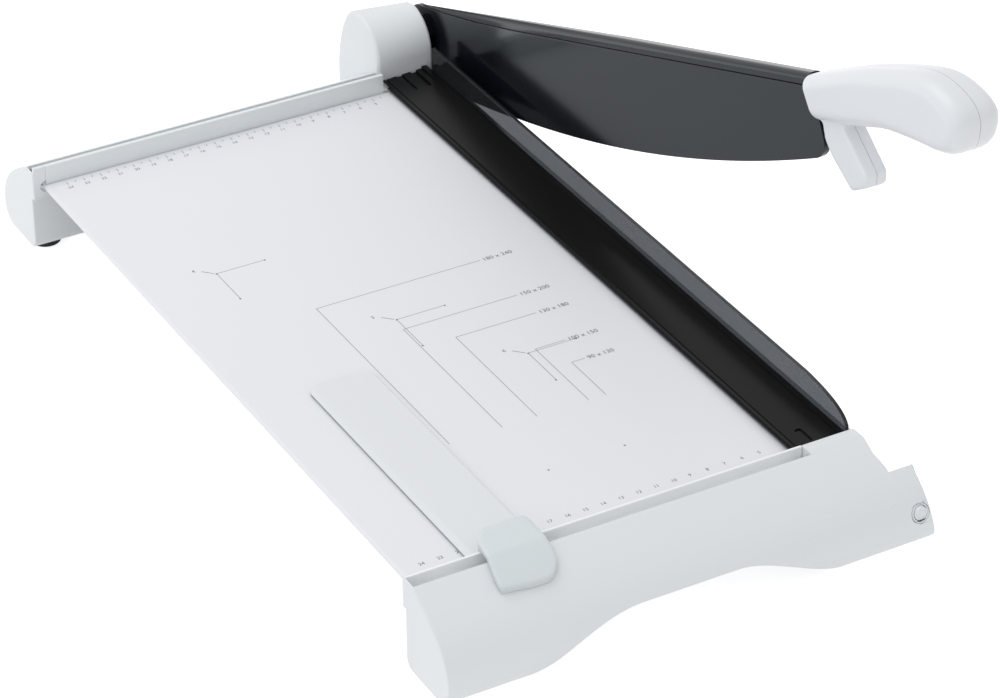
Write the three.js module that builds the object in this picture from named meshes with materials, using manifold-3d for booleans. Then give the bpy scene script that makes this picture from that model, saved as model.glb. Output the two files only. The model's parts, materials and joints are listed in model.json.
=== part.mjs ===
// Guillotine paper cutter: a desk trimmer whose curved blade hangs on a hinged arm.
// Millimetres, Z up. X runs along the front towards the blade, Y from the front stop to the rear.
// Pieces are drawn about the point where the cutting line, the front stop's face and the table's top meet.
// The finished model is then moved so that its origin is the bottom centre of its box.
// Raised arm as photographed. Arm pieces are drawn in (reach from the pivot, height above the pivot).

import * as THREE from 'three';
import { mergeVertices } from 'three/addons/utils/BufferGeometryUtils.js';
import Module from 'manifold-3d';

const wasm = await Module();
wasm.setup();

// Fits and rounding
const fit = 0.3;
const halfFitShare = 0.5;
const overrun = 4;
const weldDistance = 0.0005;
const curveSteps = 8;
const rodSteps = 8;
const cornerSteps = 5;
const edgeSteps = 3;
const arcSteps = 20;
const profileSamples = 64;
const coilSteps = 8;
const wireSteps = 3;

// Table and the heights about it
const tableWidth = 252;
const tableDepth = 428;
const tableThickness = 3;
const tableEdgeShare = 0.45;
const deskDrop = 46;
const footHeight = 4;

// Stop rails: a lip, a groove and a flange that carries the table's edge
const railSheet = 1.5;
const railFlange = 8;
const grooveEnd = 9.3;
const frontLip = 1.5;
const rearLip = 2.5;
const stopHeight = 8;
const rearStopHeight = 11;
const upstandDrop = 3.5;
const frontRailGap = 36;
const rearRailInset = 2;

// Casings over the front and rear ends
const casingOverhang = 6;
const casingRight = 5;
const casingDepth = 45;
const casingWall = 2.5;
const casingRound = 11;
const casingEnds = 0.8;
const casingSetback = 3;
const casingHeel = 6;
const casingCapDrop = 9;
const railCap = 1.2;
const cornerPocket = 4.2;
const cornerPocketDepth = 2.5;
const browShares = [0.71, 0.22];
const cheekShare = 0.44;
const archInset = 41;
const archRight = 30;
const archLeftRun = 67;
const archFlatRight = 98;
const archRise = 23.3;
const archLeftShares = [0.4, 0.54, 0.63];
const archRightShares = [0.27, 0.53, 0.5];

// Frame under the table
const beamLeft = 35.7;
const beamHeight = 29.7;
const beamWall = 2.5;
const beamFrontReach = 24;
const beamRearReach = 44;
const sideRailInset = 12;
const sideRailWidth = 18;
const sideRailHeight = 11.7;
const sideRailWall = 2;
const sideRailReach = 26;
const knifeThickness = 8;
const knifeHeight = 22;

// Screws and feet
const screwRadius = 2;
const screwHeadRadius = 3.8;
const screwHeadHeight = 2.4;
const screwBite = 5;
const bossWall = 2.6;
const footRadius = 8.5;
const footInset = 12;
const footSetback = 17;
const footRecess = 1.4;
const frontRightFoot = 20;
const rearRightFoot = 23.5;
const shortBoss = 8;

// Latch: the tab beyond the casing's end, its button, pin and spring
const tabSetback = 28;
const tabTopReach = 11.2;
const tabReach = 18.5;
const latchPlace = 7.4;
const latchDrop = 21.5;
const buttonRadius = 5;
const buttonLength = 6;
const buttonProud = 0.8;
const buttonTravel = 5.5;
const buttonEdge = 0.8;
const latchPinRadius = 1.5;
const latchGuideRadius = 4;
const latchGuideEnd = 12.6;
const latchRingWidth = 1.2;
const latchRingDepth = 3;
const springWire = 0.5;
const latchSpringTurns = 5;

// Clamp, its cutting guard, posts and springs
const clampLeft = 37.5;
const clampRight = 9.3;
const clampLift = 1.8;
const clampEdge = 1.1;
const clampTop = 6.5;
const clampCrown = 5.2;
const clampRidge = 3.2;
const clampLip = 1.6;
const clampGroove = 0.8;
const clampFrontGap = 0.8;
const clampRearReach = 6;
const soleThickness = 0.8;
const soleLip = 0.7;
const guardThickness = 2;
const guardTop = 20.6;
const guardSeat = 3.4;
const guardNose = 9;
const guardSweep = 39;
const postPlace = 27;
const postEndGap = 22;
const postSkin = 0.7;
const postRadius = 3;
const postLength = 28;
const postFlange = 5;
const postFlangeHeight = 1.5;
const postHoleSlack = 0.6;
const slotWidth = 3.6;
const slotDepth = 1;
const slotRound = 1;
const frontSlot = [5, 17];
const rearSlotGap = 14;
const slotPitch = 9;
const clampSpringTurns = 5;

// Pivot and its housing
const pivotSetback = 27;
const pivotHeight = 14;
const shaftRadius = 6;
const shaftInnerEnd = 35;
const shaftHeadRadius = 11;
const shaftHeadHeight = 3.5;
const shaftHeadEdge = 1;
const bushWall = 1.7;
const bracketHalf = 16.5;
const bracketRound = 15;
const bracketLeft = 27;
const bracketRight = 11.1;
const bracketBoss = 11;
const bracketBossEnd = 2.3;
const washerThickness = 1.5;
const washerWidth = 4;
const nutHeight = 5;
const nutRadius = 9.5;
const nutSides = 6;
const housingLeft = 40;
const housingRight = 8;
const housingGap = 6.7;
const housingStep = 1;
const housingTop = 33.8;
const housingDepth = 58;
const housingEdge = 5;
const housingShoulder = 15;
const housingCrown = 21;
const housingCrownEnd = 37;
const housingBack = 10;
const housingRound = 12;

// Arm and blade
const restDegrees = 19.9;
const armSide = 0.3;
const bladeThickness = 3.5;
const webThickness = 5.8;
const armTop = 17.9;
const beadHeight = 6;
const beadWidth = 9.7;
const beadRound = 2.6;
const beadUnderRound = 1.2;
const hubThickness = 11.7;
const bladeDrop = 43;
const bladePeak = 200;
const bladeArc = 1315;
const bladeStart = 19.5;
const bladeHeel = 56;
const bladeHeelDrop = 20;
const bladeHeelRound = 12;
const bladeToeRound = 8;
const bladeShow = 16;
const bladeGrind = 3;
const bladeScrewCount = 4;
const bladeScrewFirst = 70;
const bladeScrewPitch = 100;
const bladeScrewDrop = 5;
const bladeHoleDepth = 2;
const rootTop = 422;
const rootMiddle = 430.4;
const rootBottom = 430.6;
const rootMiddleDrop = 3;

// Handle: two shells about the arm's tang
const handleMiddle = 7;
const gripLength = 138;
const gripHeight = 29;
const gripHalfThickness = 10.5;
const gripEdge = 7;
const gripFlareShare = 0.33;
const gripOutlineShares = [
  [-0.15, 0.43], [0, 0.59], [0.18, 0.74], [0.36, 0.87], [0.54, 0.95], [0.69, 0.99], [0.81, 0.95],
  [0.915, 0.75], [0.98, 0.5], [0.995, 0.24], [0.965, -0.08], [0.91, -0.26], [0.83, -0.28], [0.74, -0.22],
  [0.6, -0.13], [0.48, -0.09], [0.36, -0.12], [0.2, -0.16], [-0.15, -0.16],
];
const gripSteps = 42;
const gripEdgeSteps = 4;
const prongHalfThickness = 6.5;
const prongEdge = 1.6;
const prongDrop = 38.3;
const prongFoot = 17;
const prongToe = 33.5;
const prongToeLift = 9.5;
const prongFootLift = 3.2;
const prongHeel = 4;
const prongHeelLift = 16;
const prongNeck = 17.5;
const prongNeckDrop = 4;
const prongRootDrop = 14;
const prongRise = 12;
const prongToeRound = 2.6;
const prongFootRound = 3.4;
const tangStart = 410;
const tangEnd = 512;
const tangHeight = 13;
const tangRound = 5;
const handleScrewPlaces = [447, 498];
const handleScrewHeight = 6.5;
const handleScrewHead = 12;
const handleScrewTip = 1.5;
const handleScrewSink = 4.3;

// Sliding gauge on the front rail
const gaugeInset = 32;
const gaugeWidth = 36;
const gaugeReach = 172;
const gaugeThickness = 2;
const gaugeCorner = 5;
const saddleReach = 14;
const saddleFall = 27;
const saddleHeight = 4;
const saddleInset = 4.5;
const saddleRightInset = 1.5;
const saddleFrontRound = 9;
const saddleRearRound = 6;
const saddleNose = 3;
const tongueSide = 2;

// Heights that follow from the sizes above
const seatTop = -(tableThickness + fit);
const railUnder = seatTop - railSheet;
const railOuter = grooveEnd + railSheet;
const casingMouth = grooveEnd + fit;
const upstandTop = stopHeight - upstandDrop;
const casingLeft = tableWidth + casingOverhang;
const rearRailLeft = tableWidth - rearRailInset;
const casingFloor = footHeight - deskDrop;
const casingHeight = stopHeight - casingFloor;
const casingInner = casingSetback + casingWall;
const archLeft = casingLeft - archInset;
const archFlatLeft = archLeft - archLeftRun;
const sideRailLeft = tableWidth - sideRailInset;
const casingScrewPlace = sideRailLeft - sideRailWidth / 2;
const beamBottom = seatTop - beamHeight;
const sideRailBottom = seatTop - sideRailHeight;
const screwHole = screwRadius + fit;
const bossRadius = screwHole + bossWall;
const pivotY = tableDepth + pivotSetback;
const bladeFar = armSide + bladeThickness;
const webNear = bladeFar + fit;
const webFar = webNear + webThickness;
const beadUnder = armTop - beadHeight;
const clampFrontEnd = clampFrontGap;
const clampRearEnd = tableDepth + clampRearReach;
const gaugeLeft = tableWidth - gaugeInset;
const gaugeRight = gaugeLeft - gaugeWidth;
const gaugeTop = fit + gaugeThickness;

// Directions in which sections are drawn out
const right = new THREE.Vector3(1, 0, 0);
const back = new THREE.Vector3(0, 1, 0);
const up = new THREE.Vector3(0, 0, 1);
const left = right.clone().negate();
const front = back.clone().negate();
const bases = {
  x: new THREE.Matrix4().makeBasis(back, up, right),
  y: new THREE.Matrix4().makeBasis(right, up, front),
  z: new THREE.Matrix4(),
  arm: new THREE.Matrix4().makeBasis(front, up, left),
};
const reversedAxes = ['y', 'arm'];

// A closed solid from a three.js geometry
function solidOf(geometry) {
  geometry.deleteAttribute('normal');
  geometry.deleteAttribute('uv');
  const merged = mergeVertices(geometry, weldDistance);
  const corners = merged.getIndex().array;
  const triangles = [];
  for (let i = 0; i < corners.length; i += 3) {
    const [a, b, c] = corners.slice(i, i + 3);
    if (a !== b && b !== c && c !== a) triangles.push(a, b, c);
  }
  const vertProperties = Float32Array.from(merged.getAttribute('position').array);
  const triVerts = Uint32Array.from(triangles);
  return new wasm.Manifold(new wasm.Mesh({ numProp: 3, vertProperties, triVerts }));
}

// A faceted three.js geometry from a closed solid
function geometryOf(solid) {
  const { vertProperties, triVerts } = solid.getMesh();
  const indexed = new THREE.BufferGeometry();
  indexed.setAttribute('position', new THREE.BufferAttribute(vertProperties, 3));
  indexed.setIndex(new THREE.BufferAttribute(triVerts, 1));
  const faceted = indexed.toNonIndexed();
  faceted.computeVertexNormals();
  return faceted;
}

function join(first, ...others) {
  return others.reduce((whole, piece) => whole.add(piece), first);
}

function cut(first, ...cutters) {
  return cutters.reduce((whole, cutter) => whole.subtract(cutter), first);
}

function common(first, ...others) {
  return others.reduce((whole, other) => whole.intersect(other), first);
}

// A section drawn out along an axis, with its two end edges rounded
function drawnOut(axis, shape, from, to, edge = 0, steps = curveSteps) {
  const geometry = new THREE.ExtrudeGeometry(shape, {
    depth: to - from - 2 * edge,
    curveSegments: steps,
    bevelEnabled: edge > 0,
    bevelThickness: edge,
    bevelSize: edge,
    bevelOffset: -edge,
    bevelSegments: edgeSteps,
  });
  geometry.translate(0, 0, (reversedAxes.includes(axis) ? -to : from) + edge);
  return geometry.applyMatrix4(bases[axis]);
}

function prism(axis, shape, from, to, edge = 0) {
  return solidOf(drawnOut(axis, shape, from, to, edge));
}

function circle(a, b, radius) {
  return new THREE.Shape().absarc(a, b, radius, 0, 2 * Math.PI, false);
}

function rod(axis, a, b, radius, from, to, edge = 0) {
  return solidOf(drawnOut(axis, circle(a, b, radius), from, to, edge, rodSteps));
}

function ring(axis, a, b, inner, outer, from, to) {
  return cut(rod(axis, a, b, outer, from, to), rod(axis, a, b, inner, from - overrun, to + overrun));
}

function rectangle(aMin, aMax, bMin, bMax) {
  return new THREE.Shape().moveTo(aMin, bMin).lineTo(aMax, bMin).lineTo(aMax, bMax).lineTo(aMin, bMax);
}

function block(xMin, xMax, yMin, yMax, zMin, zMax) {
  return prism('z', rectangle(xMin, xMax, yMin, yMax), zMin, zMax);
}

// A closed outline whose corners, given as [a, b, radius], are rounded by tangent arcs
function roundedShape(corners) {
  const points = corners.flatMap(([a, b, radius = 0], i) => {
    const corner = new THREE.Vector2(a, b);
    if (radius === 0) return [corner];
    const [beforeA, beforeB] = corners.at(i - 1);
    const [afterA, afterB] = corners[(i + 1) % corners.length];
    const toBefore = new THREE.Vector2(beforeA, beforeB).sub(corner).normalize();
    const toAfter = new THREE.Vector2(afterA, afterB).sub(corner).normalize();
    const half = Math.acos(toBefore.dot(toAfter)) / 2;
    const toCentre = toBefore.clone().add(toAfter).normalize().multiplyScalar(radius / Math.sin(half));
    const centre = toCentre.add(corner);
    const spoke = toBefore.clone().multiplyScalar(radius / Math.tan(half)).add(corner).sub(centre);
    const sweep = (Math.PI - 2 * half) * Math.sign(toAfter.cross(toBefore));
    return Array.from({ length: cornerSteps + 1 }, (_, step) => (
      spoke.clone().rotateAround(new THREE.Vector2(), sweep * step / cornerSteps).add(centre)
    ));
  });
  return new THREE.Shape(points);
}

// A section drawn outwards from a stop's face, turned to the front or to the rear
function facing(shape, faceY, outward) {
  return new THREE.Shape(
    shape.getPoints(curveSteps).map((point) => new THREE.Vector2(faceY + outward * point.x, point.y)),
  );
}

// A coil spring about a line along an axis
function coil(axis, a, b, radius, from, to, turns) {
  const start = from + springWire;
  const rise = to - from - 2 * springWire;
  class Helix extends THREE.Curve {
    getPoint(t, target = new THREE.Vector3()) {
      const angle = 2 * Math.PI * turns * t;
      return target.set(a + radius * Math.cos(angle), b + radius * Math.sin(angle), start + rise * t);
    }
  }
  const wire = circle(0, 0, springWire);
  const geometry = new THREE.ExtrudeGeometry(wire, {
    steps: turns * coilSteps,
    curveSegments: wireSteps,
    extrudePath: new Helix(),
  });
  return solidOf(geometry.applyMatrix4(bases[axis]));
}

// Finishes
function finish(color, roughness, metalness = 0) {
  return new THREE.MeshStandardMaterial({ color, roughness, metalness });
}

const casingPlastic = finish(0xd9dde0, 0.5);
const handlePlastic = finish(0xeceef0, 0.42);
const tablePaint = finish(0xe4e7ea, 0.4);
const clampPlastic = finish(0x1b1c1e, 0.45);
const anthracitePaint = finish(0x3f464d, 0.28, 0.3);
const aluminium = finish(0xb8bfc2, 0.4, 0.9);
const steel = finish(0x9da1a5, 0.35, 1);
const castIron = finish(0x4a4d50, 0.7, 0.6);
const bronze = finish(0xa8834a, 0.4, 1);
const rubber = finish(0x1a1a1a, 0.85);
const smokedPlastic = new THREE.MeshStandardMaterial({
  color: 0x4c5054, roughness: 0.12, metalness: 0, transparent: true, opacity: 0.55,
});
const frostedPlastic = new THREE.MeshStandardMaterial({
  color: 0xdde3e6, roughness: 0.5, metalness: 0, transparent: true, opacity: 0.75,
});

// The base stands still, and the arm turns about the pivot
const cutter = new THREE.Group();
const arm = new THREE.Group();
arm.position.set(0, pivotY, pivotHeight);
arm.rotation.x = -THREE.MathUtils.degToRad(restDegrees);
cutter.add(arm);

function addPart(name, solid, material, parent = cutter) {
  const mesh = new THREE.Mesh(geometryOf(solid), material);
  mesh.name = name;
  parent.add(mesh);
}

// Table plate with a round left edge, and holes for the clamp's posts
function addTable() {
  const round = tableThickness * tableEdgeShare;
  const section = roundedShape([
    [-tableWidth, -tableThickness, round],
    [-knifeThickness - fit, -tableThickness],
    [-knifeThickness - fit, 0],
    [-tableWidth, 0, round],
  ]);
  const plate = prism('y', section, fit, tableDepth - fit);
  addPart('table_plate', cut(plate, ...postHoles()), tablePaint);
}

function postYs() {
  return [postEndGap, tableDepth - postEndGap];
}

function postHoles() {
  const radius = postRadius + postHoleSlack;
  return postYs().map((y) => rod('z', -postPlace, y, radius, seatTop - beamWall - overrun, overrun));
}

// Stop rails
function railSection(lip, height) {
  return new THREE.Shape()
    .moveTo(-railFlange, railUnder)
    .lineTo(railOuter, railUnder)
    .lineTo(railOuter, upstandTop)
    .lineTo(grooveEnd, upstandTop)
    .lineTo(grooveEnd, seatTop)
    .lineTo(lip, seatTop)
    .lineTo(lip, height)
    .lineTo(0, height)
    .lineTo(0, seatTop)
    .lineTo(-railFlange, seatTop);
}

function addStopRails() {
  const frontShape = facing(railSection(frontLip, stopHeight), 0, -1);
  const rearShape = facing(railSection(rearLip, rearStopHeight), tableDepth, 1);
  const frontStart = -casingLeft + railCap + fit;
  const flangeEnd = railFlange + overrun;
  const corner = block(-casingLeft, -rearRailLeft, 0, flangeEnd, railUnder - overrun, seatTop + overrun);
  addPart('front_rail', cut(prism('x', frontShape, frontStart, -frontRailGap), corner), aluminium);
  addPart('rear_rail', prism('x', rearShape, -rearRailLeft, -housingLeft - fit), aluminium);
}

// Casing section in (depth out from the stop's face, height), grown or shrunk
function casingCurve(grow) {
  const [browDepthShare, browHeightShare] = browShares;
  const cheekHeight = stopHeight - casingHeight * cheekShare;
  const browHeight = stopHeight - casingHeight * browHeightShare;
  return [
    new THREE.Vector2(casingDepth + grow, cheekHeight + grow * browHeightShare),
    new THREE.Vector2(casingDepth * browDepthShare + grow * cheekShare, browHeight + grow),
    new THREE.Vector2(casingMouth, stopHeight + grow),
  ];
}

function casingFront(shape, grow) {
  const round = casingRound + grow;
  const turn = casingDepth - casingRound;
  const [cheek, brow, mouth] = casingCurve(grow);
  shape.lineTo(turn, casingFloor - grow);
  shape.absarc(turn, casingFloor + casingRound, round, -Math.PI / 2, 0, false);
  shape.bezierCurveTo(cheek.x, cheek.y, brow.x, brow.y, mouth.x, mouth.y);
  return shape;
}

function casingSection() {
  const heelDepth = casingSetback + casingHeel;
  const shape = new THREE.Shape()
    .moveTo(casingSetback, -casingCapDrop)
    .lineTo(casingSetback, casingFloor + casingHeel)
    .absarc(heelDepth, casingFloor + casingHeel, casingHeel, Math.PI, 3 * Math.PI / 2, false);
  return casingFront(shape, 0).lineTo(0, stopHeight).lineTo(0, -casingCapDrop);
}

function casingCavity() {
  const shape = new THREE.Shape()
    .moveTo(casingInner, casingFloor + casingHeel)
    .lineTo(casingInner + casingHeel - casingWall, casingFloor + casingWall);
  return casingFront(shape, -casingWall).lineTo(casingInner, stopHeight - casingWall);
}

function railRoom() {
  return new THREE.Shape()
    .moveTo(-overrun, railUnder - fit)
    .lineTo(railOuter + fit, railUnder - fit)
    .lineTo(railOuter + fit, upstandTop + fit)
    .lineTo(casingMouth, upstandTop + fit)
    .lineTo(casingMouth, stopHeight + overrun)
    .lineTo(-overrun, stopHeight + overrun);
}

function casingBody(faceY, outward, xEnd, roomStart, roomEnd) {
  const section = facing(casingSection(), faceY, outward);
  const cavity = facing(casingCavity(), faceY, outward);
  const room = facing(railRoom(), faceY, outward);
  return cut(
    prism('x', section, -casingLeft, xEnd, casingEnds),
    prism('x', cavity, -casingLeft + casingWall, xEnd - casingWall),
    prism('x', room, roomStart, roomEnd),
  );
}

// Opening in a casing's inner wall for a rail of the frame
function frameWindow(xMin, xMax, bottom, faceY, outward) {
  const window = rectangle(-overrun, casingInner + fit, bottom - fit, seatTop);
  return prism('x', facing(window, faceY, outward), xMin - fit, xMax + fit);
}

function frontDepthAt(height) {
  const [cheek, brow, mouth] = casingCurve(0);
  const start = new THREE.Vector2(casingDepth, casingFloor + casingRound);
  const points = new THREE.CubicBezierCurve(start, cheek, brow, mouth).getPoints(profileSamples);
  return points.find((point) => point.y >= height).x;
}

// Screw posts that stand on a casing's floor, and their holes
function floorBoss(x, y, top) {
  return rod('z', x, y, bossRadius, casingFloor + casingWall / 2, top);
}

function floorHole(x, y, top) {
  return rod('z', x, y, screwHole, casingFloor - overrun, top);
}

function casingScrewSink(y) {
  const radius = screwHeadRadius + fit;
  return rod('z', -casingScrewPlace, y, radius, casingFloor - overrun, casingFloor + screwHeadHeight + fit);
}

// Grip arch in the front casing's lower edge
function archShape() {
  const top = casingFloor + archRise;
  const leftRun = archLeft - archFlatLeft;
  const rightRun = archFlatRight - archRight;
  const [leftNear, leftFar, leftRise] = archLeftShares;
  const [rightNear, rightFar, rightRise] = archRightShares;
  return new THREE.Shape()
    .moveTo(-archLeft, casingFloor - overrun)
    .lineTo(-archLeft, casingFloor)
    .bezierCurveTo(
      -archLeft + leftRun * leftNear, casingFloor + archRise * leftFar,
      -archLeft + leftRun * leftRise, top,
      -archFlatLeft, top,
    )
    .lineTo(-archFlatRight, top)
    .bezierCurveTo(
      -archFlatRight + rightRun * rightNear, top,
      -archFlatRight + rightRun * rightFar, casingFloor + archRise * rightRise,
      -archRight, casingFloor,
    )
    .lineTo(-archRight, casingFloor - overrun);
}

// Latch tab: the casing's front carried on past its end, with a slanting outer edge
function latchTab() {
  const section = facing(casingSection(), 0, -1);
  const skin = prism('x', section, -casingRight - casingWall, tabReach);
  const outline = new THREE.Shape()
    .moveTo(-casingRight - casingWall, casingFloor - overrun)
    .lineTo(tabReach, casingFloor - overrun)
    .lineTo(tabReach, casingFloor)
    .quadraticCurveTo(tabTopReach, -latchDrop, tabTopReach, stopHeight)
    .lineTo(-casingRight - casingWall, stopHeight);
  const edge = prism('y', outline, -casingDepth - overrun, -tabSetback);
  const guide = rod('y', latchPlace, -latchDrop, latchGuideRadius, -tabSetback - casingWall, -latchGuideEnd);
  return join(common(skin, edge), guide);
}

function buttonFace() {
  return -frontDepthAt(-latchDrop) - buttonProud;
}

function springRoomEnd() {
  return buttonFace() + buttonLength + buttonTravel + 4 * springWire;
}

function latchBores() {
  const mouth = -casingDepth - overrun;
  const ringInner = buttonFace() + latchRingDepth;
  return [
    rod('y', latchPlace, -latchDrop, buttonRadius + fit, mouth, springRoomEnd()),
    rod('y', latchPlace, -latchDrop, buttonRadius + latchRingWidth + 2 * fit, mouth, ringInner),
    rod('y', latchPlace, -latchDrop, latchPinRadius + fit, mouth, 0),
  ];
}

function addFrontCasing() {
  const body = casingBody(0, -1, -casingRight, -casingLeft + railCap, -frontRailGap + fit);
  const arch = prism('y', archShape(), -casingDepth - overrun, overrun);
  const y = -footSetback;
  const footX = -casingLeft + footInset;
  const shell = join(
    cut(body, arch),
    latchTab(),
    floorBoss(footX, y, casingFloor + shortBoss),
    floorBoss(-frontRightFoot, y, beamBottom - fit),
    floorBoss(-casingScrewPlace, y, sideRailBottom - fit),
  );
  addPart('front_casing', cut(
    shell,
    frameWindow(-sideRailLeft, -sideRailLeft + sideRailWidth, sideRailBottom, 0, -1),
    frameWindow(-beamLeft, -knifeThickness - fit, beamBottom, 0, -1),
    ...latchBores(),
    floorHole(footX, y, casingFloor + shortBoss + overrun),
    floorHole(-frontRightFoot, y, 0),
    floorHole(-casingScrewPlace, y, 0),
    casingScrewSink(y),
  ), casingPlastic);
}

function addRearCasing() {
  const roomStart = -rearRailLeft - fit;
  const body = casingBody(tableDepth, 1, -housingLeft - fit, roomStart, -housingLeft + overrun);
  const y = tableDepth + footSetback;
  const footX = -casingLeft + footInset;
  const lipEnd = tableDepth + rearLip;
  const capStart = -casingLeft + casingEnds;
  const corner = block(capStart, roomStart, tableDepth, lipEnd, -casingCapDrop, rearStopHeight);
  const groove = block(-casingLeft + railCap, -rearRailLeft, lipEnd, tableDepth + casingMouth, seatTop,
    stopHeight + overrun);
  const pocketHeight = -tableThickness / 2;
  const pocketEnd = tableDepth + cornerPocketDepth;
  const pocket = rod('y', -rearRailLeft, pocketHeight, cornerPocket, tableDepth - overrun, pocketEnd);
  const shell = join(
    body,
    corner,
    floorBoss(footX, y, casingFloor + shortBoss),
    floorBoss(-casingScrewPlace, y, sideRailBottom - fit),
  );
  addPart('rear_casing', cut(
    shell,
    groove,
    pocket,
    frameWindow(-sideRailLeft, -sideRailLeft + sideRailWidth, sideRailBottom, tableDepth, 1),
    floorHole(footX, y, casingFloor + shortBoss + overrun),
    floorHole(-casingScrewPlace, y, 0),
    casingScrewSink(y),
  ), casingPlastic);
}

// Pivot housing: a domed cover at the rear end of the cutting line
function housingSection(inset) {
  const nearSide = housingGap + inset;
  const top = housingTop - inset;
  const farSide = housingDepth - inset;
  const floor = casingFloor + inset;
  const round = housingRound - inset;
  const shoulder = housingTop - housingShoulder;
  return new THREE.Shape()
    .moveTo(nearSide, floor)
    .lineTo(housingDepth - housingRound, floor)
    .absarc(housingDepth - housingRound, casingFloor + housingRound, round, -Math.PI / 2, 0, false)
    .lineTo(farSide, -housingBack)
    .bezierCurveTo(farSide, housingBack, housingCrownEnd + housingBack, top, housingCrownEnd, top)
    .lineTo(housingCrown, top)
    .bezierCurveTo(housingCrown / 2, top, nearSide, top - housingShoulder / 3, nearSide, shoulder);
}

function addPivotHousing() {
  const outer = facing(housingSection(0), tableDepth, 1);
  const inner = facing(housingSection(casingWall), tableDepth, 1);
  const xMin = -housingLeft + casingWall;
  const xMax = -housingRight - casingWall;
  const footY = tableDepth + footSetback;
  const wallEnd = tableDepth + housingGap + casingWall;
  const step = block(-housingLeft, -housingRight, tableDepth + housingStep, wallEnd, casingFloor, 0);
  const mouth = block(xMin, xMax, tableDepth - overrun, wallEnd + overrun, casingFloor + casingWall,
    -tableThickness);
  const beamRoom = block(xMin, 0, tableDepth - overrun, tableDepth + beamRearReach + fit, beamBottom - fit,
    -tableThickness);
  const shell = cut(
    join(prism('x', outer, -housingLeft, -housingRight, housingEdge), step),
    prism('x', inner, xMin, xMax),
    mouth,
    beamRoom,
    rod('x', pivotY, pivotHeight, bracketBoss + fit, xMax - overrun, 0),
  );
  const boss = floorBoss(-rearRightFoot, footY, beamBottom - fit);
  const footHole = floorHole(-rearRightFoot, footY, beamBottom + overrun);
  addPart('pivot_housing', cut(join(shell, boss), footHole), casingPlastic);
}

// Box tubes under the table
function tube(xMin, xMax, zMin, zMax, wall, yMin, yMax) {
  return cut(
    block(xMin, xMax, yMin, yMax, zMin, zMax),
    block(xMin + wall, xMax - wall, yMin - overrun, yMax + overrun, zMin + wall, zMax - wall),
  );
}

function addFrame() {
  const beamRight = -knifeThickness - fit;
  const beamEnd = tableDepth + beamRearReach;
  const beam = tube(-beamLeft, beamRight, beamBottom, seatTop, beamWall, -beamFrontReach, beamEnd);
  const beamFloor = beamBottom + beamWall + fit;
  const beamHoles = [
    ...postHoles(),
    rod('z', -frontRightFoot, -footSetback, screwHole, beamBottom - overrun, beamFloor),
    rod('z', -rearRightFoot, tableDepth + footSetback, screwHole, beamBottom - overrun, beamFloor),
  ];
  addPart('knife_beam', cut(beam, ...beamHoles), steel);
  const railFront = -sideRailReach;
  const railBack = tableDepth + sideRailReach;
  const railXMax = -sideRailLeft + sideRailWidth;
  const rail = tube(-sideRailLeft, railXMax, sideRailBottom, seatTop, sideRailWall, railFront, railBack);
  const notchFloor = railUnder - fit;
  const notchDepth = railFlange + fit;
  const notch = (yMin, yMax) => (
    block(-sideRailLeft - overrun, railXMax + overrun, yMin, yMax, notchFloor, overrun)
  );
  const notches = [
    notch(railFront - overrun, notchDepth),
    notch(tableDepth - notchDepth, railBack + overrun),
  ];
  const screwHoles = [-footSetback, tableDepth + footSetback].map((y) => (
    rod('z', -casingScrewPlace, y, screwHole, sideRailBottom - overrun, sideRailBottom + sideRailWall + fit)
  ));
  addPart('side_rail', cut(rail, ...notches, ...screwHoles), steel);
  addPart('lower_knife', block(-knifeThickness, 0, fit, tableDepth - fit, -knifeHeight, 0), steel);
}

// Rubber feet, their screws, and the screws that hold the casings to the side rail
function screw(x, y, headBottom, tip) {
  const headTop = headBottom + screwHeadHeight;
  return join(
    rod('z', x, y, screwHeadRadius, headBottom, headTop),
    rod('z', x, y, screwRadius, headBottom, tip),
  );
}

function addFeet() {
  const leftX = -casingLeft + footInset;
  const frontY = -footSetback;
  const rearY = tableDepth + footSetback;
  const feet = {
    front_left: [leftX, frontY, casingFloor + shortBoss],
    rear_left: [leftX, rearY, casingFloor + shortBoss],
    front_right: [-frontRightFoot, frontY, beamBottom + beamWall],
    rear_right: [-rearRightFoot, rearY, beamBottom + beamWall],
  };
  const headBottom = footRecess - deskDrop;
  for (const [place, [x, y, tip]] of Object.entries(feet)) {
    const foot = cut(
      rod('z', x, y, footRadius, -deskDrop, casingFloor - fit),
      rod('z', x, y, screwHeadRadius + fit, -deskDrop - overrun, headBottom + screwHeadHeight + fit),
      rod('z', x, y, screwHole, -deskDrop, 0),
    );
    addPart(`foot_${place}`, foot, rubber);
    addPart(`foot_screw_${place}`, screw(x, y, headBottom, tip), steel);
  }
  const screwTop = sideRailBottom + screwBite;
  addPart('casing_screw_front', screw(-casingScrewPlace, frontY, casingFloor, screwTop), steel);
  addPart('casing_screw_rear', screw(-casingScrewPlace, rearY, casingFloor, screwTop), steel);
}

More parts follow.
